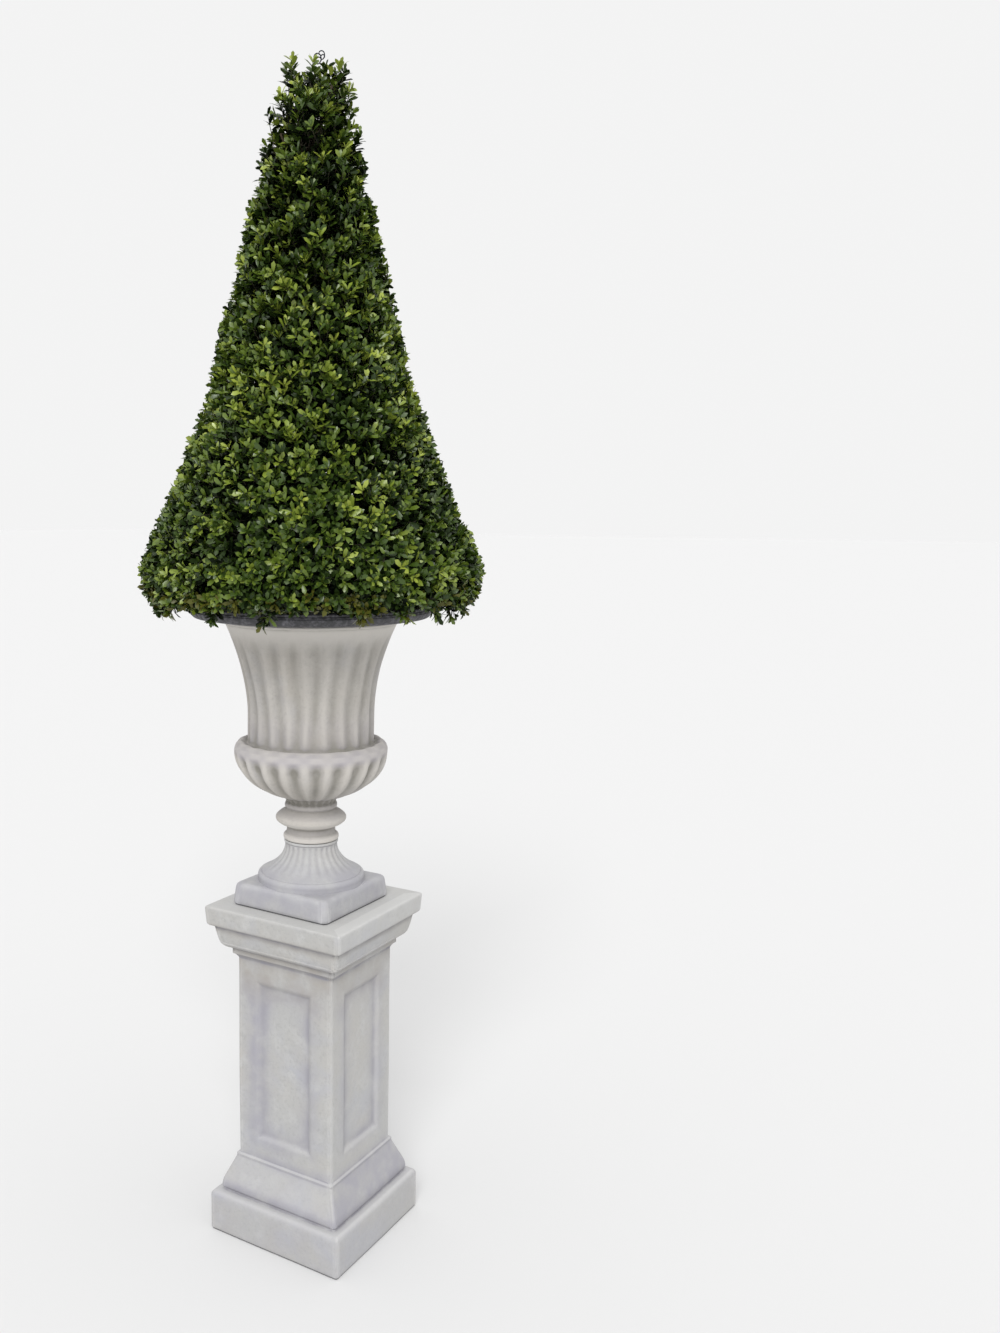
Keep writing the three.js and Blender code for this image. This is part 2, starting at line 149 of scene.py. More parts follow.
# Urn: it stands a little off the middle of its pedestal, and turned a little
URN_SHIFT = (-5, -9)
URN_TURN = -1
URN_PLINTH_HALF = 126
URN_PLINTH_TOP = 812
URN_PLINTH_EDGE = 12
FOOT_RING_RADIUS = 118
FOOT_RING_TOP = 833
FOOT_TOP = 904
FOOT_FLUTE_TOP = 850
NECK_RADIUS = 54
LOW_RING_RADIUS = 61
LOW_RING_HEIGHT = 911
DISC_RADIUS = 78
DISC_HEIGHT = 953
HIGH_RING_RADIUS = 57
HIGH_RING_HEIGHT = 982
BOWL_RADIUS = 169
BOWL_MIDDLE = 1102
BOWL_DROP = 108
BELL_FOOT = 1116
BELL_RADIUS = 139
BELL_WAIST = 1190
BELL_TOP = 1384
BELL_TOP_RADIUS = 186
VASE_TOP = 1391
FLUTE_COUNT = 22
FLUTE_TURN = -2
FOOT_FLUTE_COUNT = 26
FOOT_FLUTE_DEPTH = 2.1
GADROON_DEPTH = 13
GADROON_SPAN = (980, 998, 1078, 1112)
RIM_SPAN = (1090, 1112, 1122, 1136)
FLUTE_DEPTH = 5.5
FLUTE_SPAN = (1108, 1142, 1326, 1382)
FLUTE_WAVER = 0.9

# Outlines of the square plinth, the turned collars, and the bell's bead with the mouth down to the fill
URN_PLINTH_CORNERS = (
    (URN_PLINTH_HALF - 3, PEDESTAL_HEIGHT + SEAT),
    (URN_PLINTH_HALF - 2, PEDESTAL_HEIGHT + 2.5),
    (URN_PLINTH_HALF - 1, PEDESTAL_HEIGHT + 4.5),
    (URN_PLINTH_HALF, PEDESTAL_HEIGHT + 9, 3),
    (URN_PLINTH_HALF - 5, URN_PLINTH_TOP, 10),
    (URN_PLINTH_HALF - 30, URN_PLINTH_TOP),
)
COLLAR_CORNERS = (
    (NECK_RADIUS - 14, FOOT_TOP + SEAT),
    (NECK_RADIUS + 2, FOOT_TOP + SEAT),
    (LOW_RING_RADIUS, LOW_RING_HEIGHT - 4, 3),
    (LOW_RING_RADIUS, LOW_RING_HEIGHT + 4, 3),
    (NECK_RADIUS, LOW_RING_HEIGHT + 9, 3),
    (NECK_RADIUS - 1, DISC_HEIGHT - 19, 4),
    (DISC_RADIUS - 8, DISC_HEIGHT - 11, 3),
    (DISC_RADIUS, DISC_HEIGHT - 4, 4),
    (DISC_RADIUS, DISC_HEIGHT + 4, 4),
    (DISC_RADIUS - 9, DISC_HEIGHT + 12, 4),
    (NECK_RADIUS, HIGH_RING_HEIGHT - 8, 3),
    (HIGH_RING_RADIUS + 1, HIGH_RING_HEIGHT - 3, 2),
    (HIGH_RING_RADIUS + 1, HIGH_RING_HEIGHT + 3, 2),
    (NECK_RADIUS, HIGH_RING_HEIGHT + 9),
)
MOUTH_RADIUS = 166
MOUTH_CORNERS = (
    (BELL_TOP_RADIUS + 1, BELL_TOP + 2),
    (BELL_TOP_RADIUS + 7, BELL_TOP + 2, 2),
    (BELL_TOP_RADIUS + 7, VASE_TOP, 2),
    (MOUTH_RADIUS + 2, VASE_TOP),
    (MOUTH_RADIUS, VASE_TOP - 4, 2),
    (MOUTH_RADIUS - 5, VASE_TOP - 20),
)

# Tints of the urn's stone, in the same way: painted light on the foot's tops, its painted contact shadow
# and painted shade over its plinth, ring and the trumpet's foot
FOOT_LIGHT = 0.15
FOOT_CONTACT_SHADOW = 0.8
FOOT_SHADE_VEIL = 0.95
FOOT_SHADE_VEIL_SPAN = (PEDESTAL_HEIGHT - 60, URN_PLINTH_TOP - 2, FOOT_RING_TOP, FOOT_FLUTE_TOP + 15)
# On the vase: painted light on tops, a dark joint at its foot, the share of dirt and painted shade kept on
# the bell, and the depth of painted light under the lip
VASE_LIGHT = 0.25
VASE_LINE = 0.5
BELL_DIRT_AND_SHADE = 0.7
BELL_LIGHT_DEPTH = 55
# Bands of painted shade on the neck under the disc and the bowl, and a darker band at the bell's foot
VASE_SHADES = (
    (LOW_RING_HEIGHT + 13, 9, 0.6),
    (HIGH_RING_HEIGHT - 11, 10, 0.7),
    (HIGH_RING_HEIGHT + 14, 10, 0.9),
    (BELL_FOOT + 28, 40, 0.55),
)
# Bands of painted highlight on the low ring and the disc
VASE_LIGHTS = ((LOW_RING_HEIGHT - 2, 6, 0.5), (DISC_HEIGHT - 9, 6, 0.9))

# Fill, and lip with the outline of its section
FILL_TOP = 1392
LIP_RADIUS = 264
LIP_BOTTOM = 1399
LIP_TOP = 1429
LIP_EGGS = 80
LIP_EGG_DEPTH = 2.2
LIP_FOOT = VASE_TOP + SEAT
LIP_CORNERS = (
    (MOUTH_RADIUS + 4, LIP_FOOT),
    (BELL_TOP_RADIUS + 4, LIP_FOOT),
    (LIP_RADIUS - 32, LIP_BOTTOM - 4, 6),
    (LIP_RADIUS - 10, LIP_BOTTOM, 3),
    (LIP_RADIUS - 3, LIP_BOTTOM + 7, 2),
    (LIP_RADIUS, LIP_BOTTOM + 12, 3),
    (LIP_RADIUS, LIP_BOTTOM + 17, 3),
    (LIP_RADIUS - 2, LIP_BOTTOM + 20, 2),
    (LIP_RADIUS - 1, LIP_TOP - 6, 2),
    (LIP_RADIUS - 8, LIP_TOP, 4),
    (LIP_RADIUS - 26, LIP_TOP, 6),
    (BELL_TOP_RADIUS + 14, LIP_TOP - 23, 6),
    (MOUTH_RADIUS + 4, LIP_FOOT + 10),
)

# Stem, and the leader that it becomes in the foliage
STEM_FOOT_RADIUS = 26
STEM_RADIUS = 17
STEM_TIP_RADIUS = 13
STEM_TOP = 1600
STEM_CORNERS = (
    (STEM_FOOT_RADIUS, FILL_TOP + SEAT),
    (STEM_RADIUS + 3, FILL_TOP + 16, 8),
    (STEM_RADIUS, FILL_TOP + 48, 20),
    (STEM_TIP_RADIUS, STEM_TOP),
)
BARK_DEPTH = 0.8
LEADER_TOP = 2505
LEADER_TIP_RADIUS = 3
LEADER_WOBBLE = 3

# Foliage: the furthest reach of the leaf tips at each height, and the core that its sprigs start from
FOLIAGE_TOP = 2556
FOLIAGE_OUTLINE = (
    (318, 1374), (346, 1408), (372, 1454), (379, 1508), (316, 1650), (235, 1860),
    (184, 2060), (136, 2262), (108, 2420), (96, 2500), (82, 2535), (60, FOLIAGE_TOP),
)
CORE_FOOT = 1434
CORE_TOP = 2480
CORE_DEPTH = 40

# Sprigs: their numbers and depths, their strays in side and reach, how they lift, and where they thin out
SIDE_SPRIGS = 4600
INNER_SPRIGS = 2800
INNER_DEPTH = 34
INNER_TOP = 2380
SPRIG_SUNK = 14
SHORTEST_SPRIG = 8
SIDE_STRAY = 4
REACH_STRAY = 13
BACK_SHARE = 0.7
LIFT_LEVELS = (CORE_FOOT, CORE_FOOT + 300, 2000, CORE_TOP)
LIFTS = (-12, 38, 38, 53)
THIN_FOOT = 2180
THIN_HEAD = 2420
THIN_SHARE = 0.28
THIN_BY_DENT = 0.008

# Rings of sprigs at the skirt, the brim and the crown: number, height, lift and its spread
SPRIG_RINGS = (
    (130, CORE_FOOT + 8, -28, 36),
    (120, CORE_FOOT + 24, -16, 40),
    (120, 1492, 8, 50),
    (30, CORE_TOP - 22, 58, 50),
    (26, CORE_TOP - 4, 84, 50),
)

# How far chance spreads the height of a sprig's root, its lift and its sweep, in mm and degrees
SIDE_SPREADS = (10, 60, 80)
RING_ROOT_SPREAD = 8
RING_SWEEP_SPREAD = 60
SPRAY_SPREADS = (10, 30, 50)

# Boughs, with their drop from the tip to the leader, and twigs
BOUGHS = 170
BOUGH_RADII = (5, 2.2)
BOUGH_REACH = 0.92
BOUGH_DROP = 30
BRIM_DROP = 90
DROP_STRAY = 20
BOUGH_TURN_SPREAD = 10
BOUGH_SAG = 0.12
TWIG_RADII = (1.7, 1.5, 1.3, 0.7)
TWIG_END_SHARE = 0.7

# Leaves: their size, and how far chance spreads their size, turn, lean and roll
LEAF_LENGTH = 25
LEAF_WIDTH = 10.5
LEAST_SIZE = 0.80
SIZE_SPREAD = 0.40
TURN_SPREAD = 0.6
LEAN_SPREAD = 0.5
ROLL_SPREAD = 1.1

# How much of a leaf lies past the last pair's root, the clearance of tips, and leaves in a joined piece
LAST_PAIR_SHARE = 0.72
TIP_CLEARANCE = 5
LARGEST_PIECE = 24000

# A leaf's points, as shares of its length along, of its width across and of its length up, and its faces
LEAF_SHAPE = (
    (0, 0, 0), (0.40, 0, 0.015), (0.78, 0, 0), (1, 0, -0.05),
    (0.34, 0.36, 0.06), (0.34, -0.36, 0.06), (0.77, 0.46, 0.03), (0.77, -0.46, 0.03),
)
LEAF_FACES = ((0, 5, 1), (0, 1, 4), (1, 5, 7), (1, 7, 2), (1, 2, 6), (1, 6, 4), (2, 7, 3), (2, 3, 6))

# Pairs of leaves from a twig's end back: place, forward lean, size and how much lighter they are, as fresh
# growth at the end and painted shade further back
PAIR_SPACING = 10.5
LEAF_PAIRS = (
    (0, 1.6, 0.72, 1),
    (-3, 0.9, 0.9, 1),
    (-11, 0.8, 1, 0),
    (-20, 0.7, 1, -1),
    (-20 - PAIR_SPACING, 0.5, 1, -2),
    (-20 - 2 * PAIR_SPACING, 0.5, 1, -3),
)

# Old brownish leaves on a share of the sprigs near the brim
OLD_SHARE = 0.35
OLD_FOOT = 1440
OLD_HEAD = 1480

# The skirt's lower edge, and the sprays that hang below it on some sides
SKIRT_EDGE = 1420
SKIRT_WAVE = 6
SKIRT_STRAY = 10
HANGING_SIDES = (-146, -131, -118, -92, -70, -38, -22, -4, 8, 22, 48, 96, 135, 168, 190, 206, 226)
SPRAY_SPRIGS = 3
SPRAY_LIFT = -58
SPRAY_TURN_SPREAD = 5

# Tufts: how deep the dents between them are at each height, and the ones at the crown as their side,
# the height of their tips and how far they stay back, from 0 to 1
TUFTS = 300
TUFT_WIDTH = 34
TUFT_STRAY = 40
CROWN_HALF_ANGLE = 26
BITE_HALF_ANGLE = 18
CROWN_HALF_HEIGHT = 15
DENT_LEVELS = (1500, 1900, 2350, 2480)
DENT_DEPTHS = (9, 15, 40, 60)
CROWN_TUFTS = (
    (34, 2542, 0.0), (34, 2512, 0.7), (36, 2483, 0.0), (34, 2440, 0.8), (32, 2402, 0.0),
    (34, 2374, 0.7), (30, 2342, 0.0), (34, 2297, 0.8), (34, 2252, 0.0), (34, 2185, 0.0),
    (34, 2078, 0.0),
    (214, 2545, 0.4), (214, 2520, 0.8), (214, 2500, 1.0), (214, 2475, 0.7), (214, 2447, 0.2),
    (214, 2414, 0.8), (212, 2375, 0.0), (214, 2345, 0.1), (214, 2293, 0.5), (214, 2256, 0.0),
    (214, 2205, 0.0), (214, 2150, 0.0), (214, 2112, 0.5), (214, 2060, 0.0), (214, 2000, 0.0),
    (214, 1965, 0.0),
    (124, 2540, 0.3), (304, 2540, 0.1), (80, 2545, 0.2), (260, 2545, 0.2),
)

# Loose ends at the crown: wire loops as place and size, and a bare twig's foot, fork and two tips
CROWN_LOOPS = ((14, 4, 2531, 8), (21, 9, 2538, 6))
WIRE_RADIUS = 1.2
CROWN_TWIG = ((-30, -18, 2468), (-38, -22, 2494), (-50, -28, 2508), (-36, -24, 2514))
CROWN_TWIG_RADIUS = 1.0

# Stone colours, linear: body, warm patches, cool patches, dirt and painted shade, the lavender veil of
# painted shade and its dun tone
PEDESTAL_COLOURS = (
    (0.395, 0.394, 0.388), (0.41, 0.397, 0.375), (0.385, 0.388, 0.41),
    (0.255, 0.25, 0.275), (0.31, 0.304, 0.338), (0.33, 0.310, 0.285),
)
FOOT_COLOURS = (
    (0.41, 0.41, 0.41), (0.42, 0.41, 0.395), (0.40, 0.40, 0.42),
    (0.27, 0.26, 0.28), (0.325, 0.32, 0.352), (0.33, 0.31, 0.285),
)
URN_COLOURS = (
    (0.395, 0.378, 0.352), (0.405, 0.380, 0.345), (0.39, 0.378, 0.37),
    (0.24, 0.229, 0.203), (0.262, 0.246, 0.305), (0.30, 0.283, 0.252),
)

# Colour of the dark line at the foot of each casting: painted contact shadow under the pedestal and the
# urn's plinth, a dark joint under the vase
LINE_COLOUR = (0.05, 0.05, 0.055)

# Colours of the rough matter: body and light patches
MIX_COLOURS = ((0.018, 0.014, 0.010), (0.050, 0.040, 0.028))
BARK_COLOURS = ((0.045, 0.030, 0.018), (0.10, 0.072, 0.045))
TWIG_COLOURS = ((0.030, 0.026, 0.014), (0.060, 0.052, 0.026))
WIRE_COLOURS = ((0.012, 0.016, 0.022), (0.030, 0.036, 0.045))

# Leaf colours from the painted shade of the inside to the fresh tips, then the old leaves, each with its
# gloss
LEAF_SHADES = (
    ("leaves_shaded", (0.005, 0.009, 0.003), 0.06),
    ("leaves_dark", (0.015, 0.029, 0.005), 0.18),
    ("leaves_middle", (0.040, 0.072, 0.009), 0.40),
    ("leaves_green", (0.100, 0.150, 0.017), 0.50),
    ("leaves_fresh", (0.190, 0.250, 0.030), 0.55),
    ("leaves_tip", (0.290, 0.350, 0.050), 0.55),
    ("leaves_old", (0.082, 0.084, 0.012), 0.30),
)
FRESHEST = 5

# Limits between the shades of the sprigs, as shares of them all
SHADE_LIMITS = (0.12, 0.42, 0.74, 0.93)

# Light and floor: strengths, the lamp's spread, tilt and turn in degrees, and the floor in metres
SKY_STRENGTH = 0.9
SUN_STRENGTH = 1.9
SUN_SPREAD = 28
SUN_TILT = 52
SUN_LEFT = 8
FLOOR_HALF = 60
FLOOR_COLOUR = (0.71, 0.71, 0.71)


# Meshes


def add_object(name, data):
    """A new object in the scene."""
    thing = bpy.data.objects.new(name, data)
    scene.collection.objects.link(thing)
    return thing


def new_piece(name, points, faces, material, replaces=None):
    """A smooth mesh from points in millimetres, which rides on the one body."""
    mesh = bpy.data.meshes.new(name)
    mesh.from_pydata(points * MM, [], faces)
    mesh.update()
    mesh.shade_smooth()
    mesh.materials.append(material)
    piece = add_object(name, mesh)
    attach(piece, "root")
    if replaces:
        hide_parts(replaces)
    return piece


def grid_piece(name, grid, material, replaces=None, ring=False):
    """A piece from a tube-shaped grid of points, which is a ring or has a face over each end."""
    rows, columns = grid.shape[:2]
    faces = grid_quads(rows, columns, ring).tolist()
    if not ring:
        faces += [list(range(columns))[::-1], list(range((rows - 1) * columns, rows * columns))]
    return new_piece(name, grid.reshape(-1, 3), faces, material, replaces)


def give_tints(piece, tints):
    """Stores the strengths of the stone's tints at each point of a piece."""
    for name, values in tints.items():
        attribute = piece.data.attributes.new(name, "FLOAT", "POINT")
        attribute.data.foreach_set("value", np.asarray(values, np.float32).ravel())


def unit(vectors):
    """The same vectors at length one."""
    return vectors / (np.linalg.norm(vectors, axis=-1, keepdims=True) + 1e-9)


def between(value, low, high):
    """How far a value lies between two others, from 0 to 1."""
    return np.clip((value - low) / (high - low), 0, 1)


def eased(share):
    """A share from 0 to 1 with soft ends."""
    return share * share * (3 - 2 * share)


def strength_in(span, height):
    """A strength from 0 to 1 that rises from a span's foot, is full, and fades out at its head."""
    foot, full, fade, head = span
    return eased(between(height, foot, full)) * (1 - eased(between(height, fade, head)))


def curved(starts, controls, ends, steps):
    """Paths from starts to ends that bend towards controls."""
    t = np.linspace(0, 1, steps)[:, None]
    starts, controls, ends = (points[..., None, :] for points in (starts, controls, ends))
    return (1 - t) ** 2 * starts + 2 * t * (1 - t) * controls + t * t * ends


def softened(corners, steps=6):
    """The corners of an outline as points: a corner that has a round becomes a short curve."""
    points = []
    for i, corner in enumerate(corners):
        here = np.array(corner[:2], float)
        if len(corner) < 3:
            points.append(here)
            continue
        ends = []
        for other in (corners[i - 1], corners[(i + 1) % len(corners)]):
            there = np.array(other[:2], float)
            share = min(0.5, corner[2] / np.linalg.norm(there - here))
            ends.append(here + (there - here) * share)
        points.extend(curved(ends[0], here, ends[1], steps))
    return np.array(points)


def divided(points, spacing):
    """The same outline with no two points further apart than the spacing."""
    rows = [points[0]]
    for start, end in zip(points[:-1], points[1:]):
        steps = max(1, math.ceil(np.linalg.norm(end - start) / spacing))
        rows.extend(start + (end - start) * k / steps for k in range(1, steps + 1))
    return np.array(rows)


def arc(middle_radius, middle_height, across, up, start, end, steps):
    """Points along an ellipse about the axis, between two angles in degrees above its middle."""
    angles = np.linspace(start, end, steps + 1) * DEGREE
    return np.stack([middle_radius + across * np.cos(angles), middle_height + up * np.sin(angles)], 1)


def grid_quads(rows, columns, ring=False):
    """Quads of a tube-shaped grid; the last row of a ring joins its first."""
    row, column = np.meshgrid(np.arange(rows if ring else rows - 1), np.arange(columns), indexing="ij")
    after = (column + 1) % columns
    low = row * columns
    high = (row + 1) % rows * columns
    return np.stack([low + column, low + after, high + after, high + column], -1).reshape(-1, 4)


def normals_of(grid):
    """The outward direction at each point of a grid."""
    along = np.gradient(grid, axis=0)
    across = np.roll(grid, -1, 1) - np.roll(grid, 1, 1)
    return unit(np.cross(across, along))


def hollows_of(grid, passes=12, full=1.2, under=0.45):
    """How hollow each point of a grid is against its surroundings, from -1 on jutting edges to 1;
    undersides count as hollow, for painted shade.
    """
    smooth = grid.copy()
    for _ in range(passes):
        rows = np.pad(smooth, ((1, 1), (0, 0), (0, 0)), mode="edge")
        across = (np.roll(smooth, 1, 1) + np.roll(smooth, -1, 1)) / 2
        smooth = (smooth * 2 + (rows[:-2] + rows[2:]) / 2 + across) / 4
    normal = normals_of(grid)
    hollow = ((smooth - grid) * normal).sum(2) / full
    return np.clip(hollow + under * np.clip(-normal[..., 2], 0, 1), -1, 1)


def upwardness(grid):
    """How far each point of a grid faces up, from 0 to 1."""
    return np.clip(normals_of(grid)[..., 2], 0, 1) ** 2


def bands(height, places):
    """Soft level bands: each has the height of its middle, its half-width and its strength."""
    return sum(full * np.exp(-(((height - middle) / width) ** 2)) for middle, width, full in places)


def uneven(grid, amount, size, seed):
    """Moves a grid's points out and in a little, as in a casting from a worn mould."""
    random = np.random.default_rng(seed)
    waves = random.normal(size=(8, 3)) / size
    turns = random.uniform(0, 2 * math.pi, 8)
    swell = np.sin(grid @ waves.T + turns).mean(2, keepdims=True)
    return grid + unit(grid * LEVEL) * swell * amount


def around(radius, angle, height):
    """Points about the axis, from their radius, angle and height."""
    return np.stack([radius * np.cos(angle), radius * np.sin(angle), height], -1)


def round_grid(profile, columns, radius_at):
    """Rings of a turned solid; radius_at changes the outline's radius by height and angle."""
    angles = np.arange(columns) / columns * 2 * math.pi
    radius, height = (np.repeat(profile[:, k : k + 1], columns, 1) for k in (0, 1))
    return around(radius_at(radius, height, angles[None]), angles, height)


def square_grid(profile, edge, shares, sink=None):
    """Rings of a square solid with softened upright edges; sink gives how far a face lies back."""
    half = profile[:, :1]
    height = profile[:, 1:]
    softening = np.minimum(edge, half)
    side = half - softening
    corner = np.linspace(0, 90, 6) * DEGREE
    rings = []
    for quarter in range(4):
        turn = quarter * 90 * DEGREE
        normal = np.array([math.cos(turn), math.sin(turn)])
        tangent = np.array([-normal[1], normal[0]])
        along = side * shares[None, :]
        depth = sink(along, height) if sink else 0
        face = (half - depth)[..., None] * normal + along[..., None] * tangent
        middle = (side * (normal + tangent))[:, None, :]
        spread = np.stack([np.cos(corner + turn), np.sin(corner + turn)], 1)
        rings += [face, middle + softening[..., None] * spread]
    flat = np.concatenate(rings, 1)
    return np.concatenate([flat, np.repeat(height[:, None], flat.shape[1], 1)], 2)


def in_urn_frame(points):
    """Points of the planted urn, set down on its pedestal."""
    cos, sin = math.cos(URN_TURN * DEGREE), math.sin(URN_TURN * DEGREE)
    x, y, z = np.moveaxis(points, -1, 0)
    return np.stack([x * cos - y * sin + URN_SHIFT[0], x * sin + y * cos + URN_SHIFT[1], z], -1)


# Materials


def new_material(name, colour, roughness):
    """A material and its principled shader."""
    material = bpy.data.materials.new(name)
    material.use_nodes = True
    shader = material.node_tree.nodes["Principled BSDF"]
    shader.inputs["Base Color"].default_value = (*colour, 1)
    shader.inputs["Roughness"].default_value = roughness
    return material, shader


def add_node(material, kind, **values):
    """A node with some of its inputs set."""
    node = material.node_tree.nodes.new(kind)
    for key, value in values.items():
        node.inputs[key.replace("_", " ")].default_value = value
    return node


def feed(material, socket, value):
    """Links an output to a socket, or sets the socket to a colour or a number."""
    if isinstance(value, bpy.types.NodeSocket):
        material.node_tree.links.new(value, socket)
    else:
        socket.default_value = (*value, 1) if isinstance(value, tuple) else value


def noise(material, scale, detail=4, roughness=0.55):
    """Noise in the object's own space."""
    place = add_node(material, "ShaderNodeTexCoord")
    texture = add_node(material, "ShaderNodeTexNoise", Scale=scale, Detail=detail, Roughness=roughness)
    feed(material, texture.inputs["Vector"], place.outputs["Object"])
    return texture.outputs["Fac"]


def stretched(material, value, low, high, first=0, last=1):
    """A value between two limits, spread from 0 to 1 or between two others."""
    limits = {"From_Min": low, "From_Max": high, "To_Min": first, "To_Max": last}
    node = add_node(material, "ShaderNodeMapRange", **limits)
    feed(material, node.inputs["Value"], value)
    return node.outputs["Result"]


def tinted(material, share, below, above):
    """One colour mixed into another by a share; either may be a colour or an output."""
    node = add_node(material, "ShaderNodeMix")
    node.data_type = "RGBA"
    for place, value in ((0, share), (6, below), (7, above)):
        feed(material, node.inputs[place], value)
    return node.outputs[2]


def product(material, first, second):
    """The product of two values."""
    node = add_node(material, "ShaderNodeMath")
    node.operation = "MULTIPLY"
    feed(material, node.inputs[0], first)
    feed(material, node.inputs[1], second)
    return node.outputs[0]


def finished(material, shader, colour, heights):
    """The material with its colour, and relief from (height, depth in mm) pairs, coarse first."""
    feed(material, shader.inputs["Base Color"], colour)
    below = None
    for height, depth in heights:
        bump = add_node(material, "ShaderNodeBump", Strength=1.0, Distance=depth * MM)
        feed(material, bump.inputs["Height"], height)
        if below:
            feed(material, bump.inputs["Normal"], below)
        below = bump.outputs["Normal"]
    feed(material, shader.inputs["Normal"], below)
    return material


def read_tint(material, name):
    """The strength of a tint that the mesh carries."""
    node = add_node(material, "ShaderNodeAttribute")
    node.attribute_name = name
    return node.outputs["Fac"]


def mottled(material, colour, layers):
    """A colour with layers mixed in, each with its noise's scale, detail, roughness and limits."""
    for scale, detail, roughness, low, high, layer in layers:
        share = stretched(material, noise(material, scale, detail, roughness), low, high)
        colour = tinted(material, share, colour, layer)
    return colour


def cast_stone(name, colours, patchiness, wear_and_highlight):
    """Pale cast stone with patches, a lavender and dun veil of painted shade, edges lightened by wear and
    painted highlight, painted light, and hollows darkened by dirt and painted shade.
    """
    body, warm, cool, dirt_and_shade, lavender, dun = colours
    light, grain, pale = (tuple(part * share for part in body) for share in (1.14, 0.72, 1.5))
    material, shader = new_material(name, body, 0.88)
    layers = (
        (5, 3, 0.55, 0.42, 0.68, warm),
        (8.3, 3, 0.55, 0.50, 0.68, cool),
        (24, 5, 0.65, 0.50, 0.72, light),
        (110, 6, 0.78, 0.50, 0.85, grain),
    )
    colour = mottled(material, body, layers)
    shade_veil, duns, hollow, painted_light, line = (
        read_tint(material, tint) for tint in ("shade_veil", "dun", "hollow", "painted_light", "line")
    )
    patchy = stretched(material, noise(material, 22), 0.5 - patchiness, 0.62)
    worn_and_lit = stretched(material, hollow, -0.05, -0.9)
    dirty_and_shaded = stretched(material, hollow, 0.04, 0.85)
    for share, layer in (
        # painted shade: the lavender veil, dun where marked
        (product(material, shade_veil, patchy), tinted(material, duns, lavender, dun)),
        # wear and painted highlight on jutting edges
        (product(material, worn_and_lit, wear_and_highlight), pale),
        # painted light on tops and marked bands
        (painted_light, pale),
        # dirt and painted shade in hollows and on undersides
        (product(material, dirty_and_shaded, patchy), dirt_and_shade),
        # the dark foot line: a joint under the vase, painted contact shadow elsewhere
        (line, LINE_COLOUR),
    ):
        colour = tinted(material, share, colour, layer)
    heights = [(noise(material, 45), 0.8), (noise(material, 420, 3, 0.6), 0.22)]
    return finished(material, shader, colour, heights)


def dark_stone():
    """Charcoal stone with faint lavender patches of wear and painted glints."""
    body = (0.040, 0.040, 0.044)
    worn_and_lit = (0.150, 0.147, 0.165)
    material, shader = new_material("lip_stone", body, 0.6)
    colour = mottled(material, body, [(75, 6, 0.75, 0.47, 0.70, worn_and_lit)])
    return finished(material, shader, colour, [(noise(material, 110), 0.7), (noise(material, 500, 3), 0.2)])


def crumbly(name, colour, light, scale, depth):
    """Rough matter such as planting mix or bark."""
    material, shader = new_material(name, colour, 0.95)
    patches = mottled(material, colour, [(scale, 6, 0.7, 0.40, 0.70, light)])
    return finished(material, shader, patches, [(noise(material, scale * 1.6, 5), depth)])


def leaf_material(name, colour, gloss):
    """A leaf of moulded plastic: plain colour, satin gloss and a faint uneven surface."""
    material, shader = new_material(name, colour, 0.38)
    shader.inputs["Specular IOR Level"].default_value = gloss
    roughness = stretched(material, noise(material, 70, 2), 0.30, 0.70, 0.24, 0.44)
    feed(material, shader.inputs["Roughness"], roughness)
    return finished(material, shader, colour, [(noise(material, 190, 2), 0.5)])


# Pedestal


def way_into_panel(along, height):
    """How far a place on a pedestal face lies inside the edge of its panel."""
    upright = np.minimum(height - PANEL_FOOT, PANEL_HEAD - height)
    return np.minimum(PANEL_HALF_WIDTH - np.abs(along), upright)


def panel_sink(along, height):
    """How far a pedestal face lies back at a place: its sunk panel with a bevelled border."""
    return PANEL_DEPTH * eased(between(way_into_panel(along, height), 0, PANEL_BEVEL))


def panel_shade_veil(grid):
    """Painted shade in lavender along the border of each sunk panel, broadest at the left and at the head.
    """
    side_on = np.abs(grid[..., 0]) > np.abs(grid[..., 1])
    along = np.minimum(np.abs(grid[..., 0]), np.abs(grid[..., 1]))
    height = grid[..., 2]
    ragged = 3 * np.sin(height / 47 + along / 23) + 1.5 * np.sin(height / 19 + 2)
    leftward = np.where(side_on, VEIL_SIDE_ON, between(grid[..., 0], *VEIL_LEFT_SPAN))
    headward = between(height, *VEIL_HEAD_SPAN)
    strength, width = (
        least + left * leftward + head * headward for least, left, head in (VEIL_STRENGTHS, VEIL_WIDTHS)
    )
    inside = way_into_panel(along, height) - VEIL_INSET - ragged
    return strength * np.exp(-((inside / width) ** 2))


def pedestal_outline():
    """The pedestal's outline, with close rows at the panels' bevels."""
    outline = softened(PEDESTAL_CORNERS)
    for low in (PANEL_FOOT, PANEL_HEAD - PANEL_BEVEL):
        place = int(np.searchsorted(outline[:, 1], low))
        rows = [(SHAFT_HALF, height) for height in np.linspace(low, low + PANEL_BEVEL, 7)]
        outline = np.insert(outline, place, rows, axis=0)
    return divided(outline, 7)


def face_shares():
    """Where the points of a pedestal face lie across it, close together at the panel's bevels."""
    side = SHAFT_HALF - CAST_EDGE
    outer = PANEL_HALF_WIDTH / side
    inner = (PANEL_HALF_WIDTH - PANEL_BEVEL) / side
    left = np.concatenate([np.linspace(-1, -outer, 10), np.linspace(-outer, -inner, 7)[1:]])
    return np.concatenate([left, np.linspace(-inner, inner, 22)[1:-1], -left[::-1]])


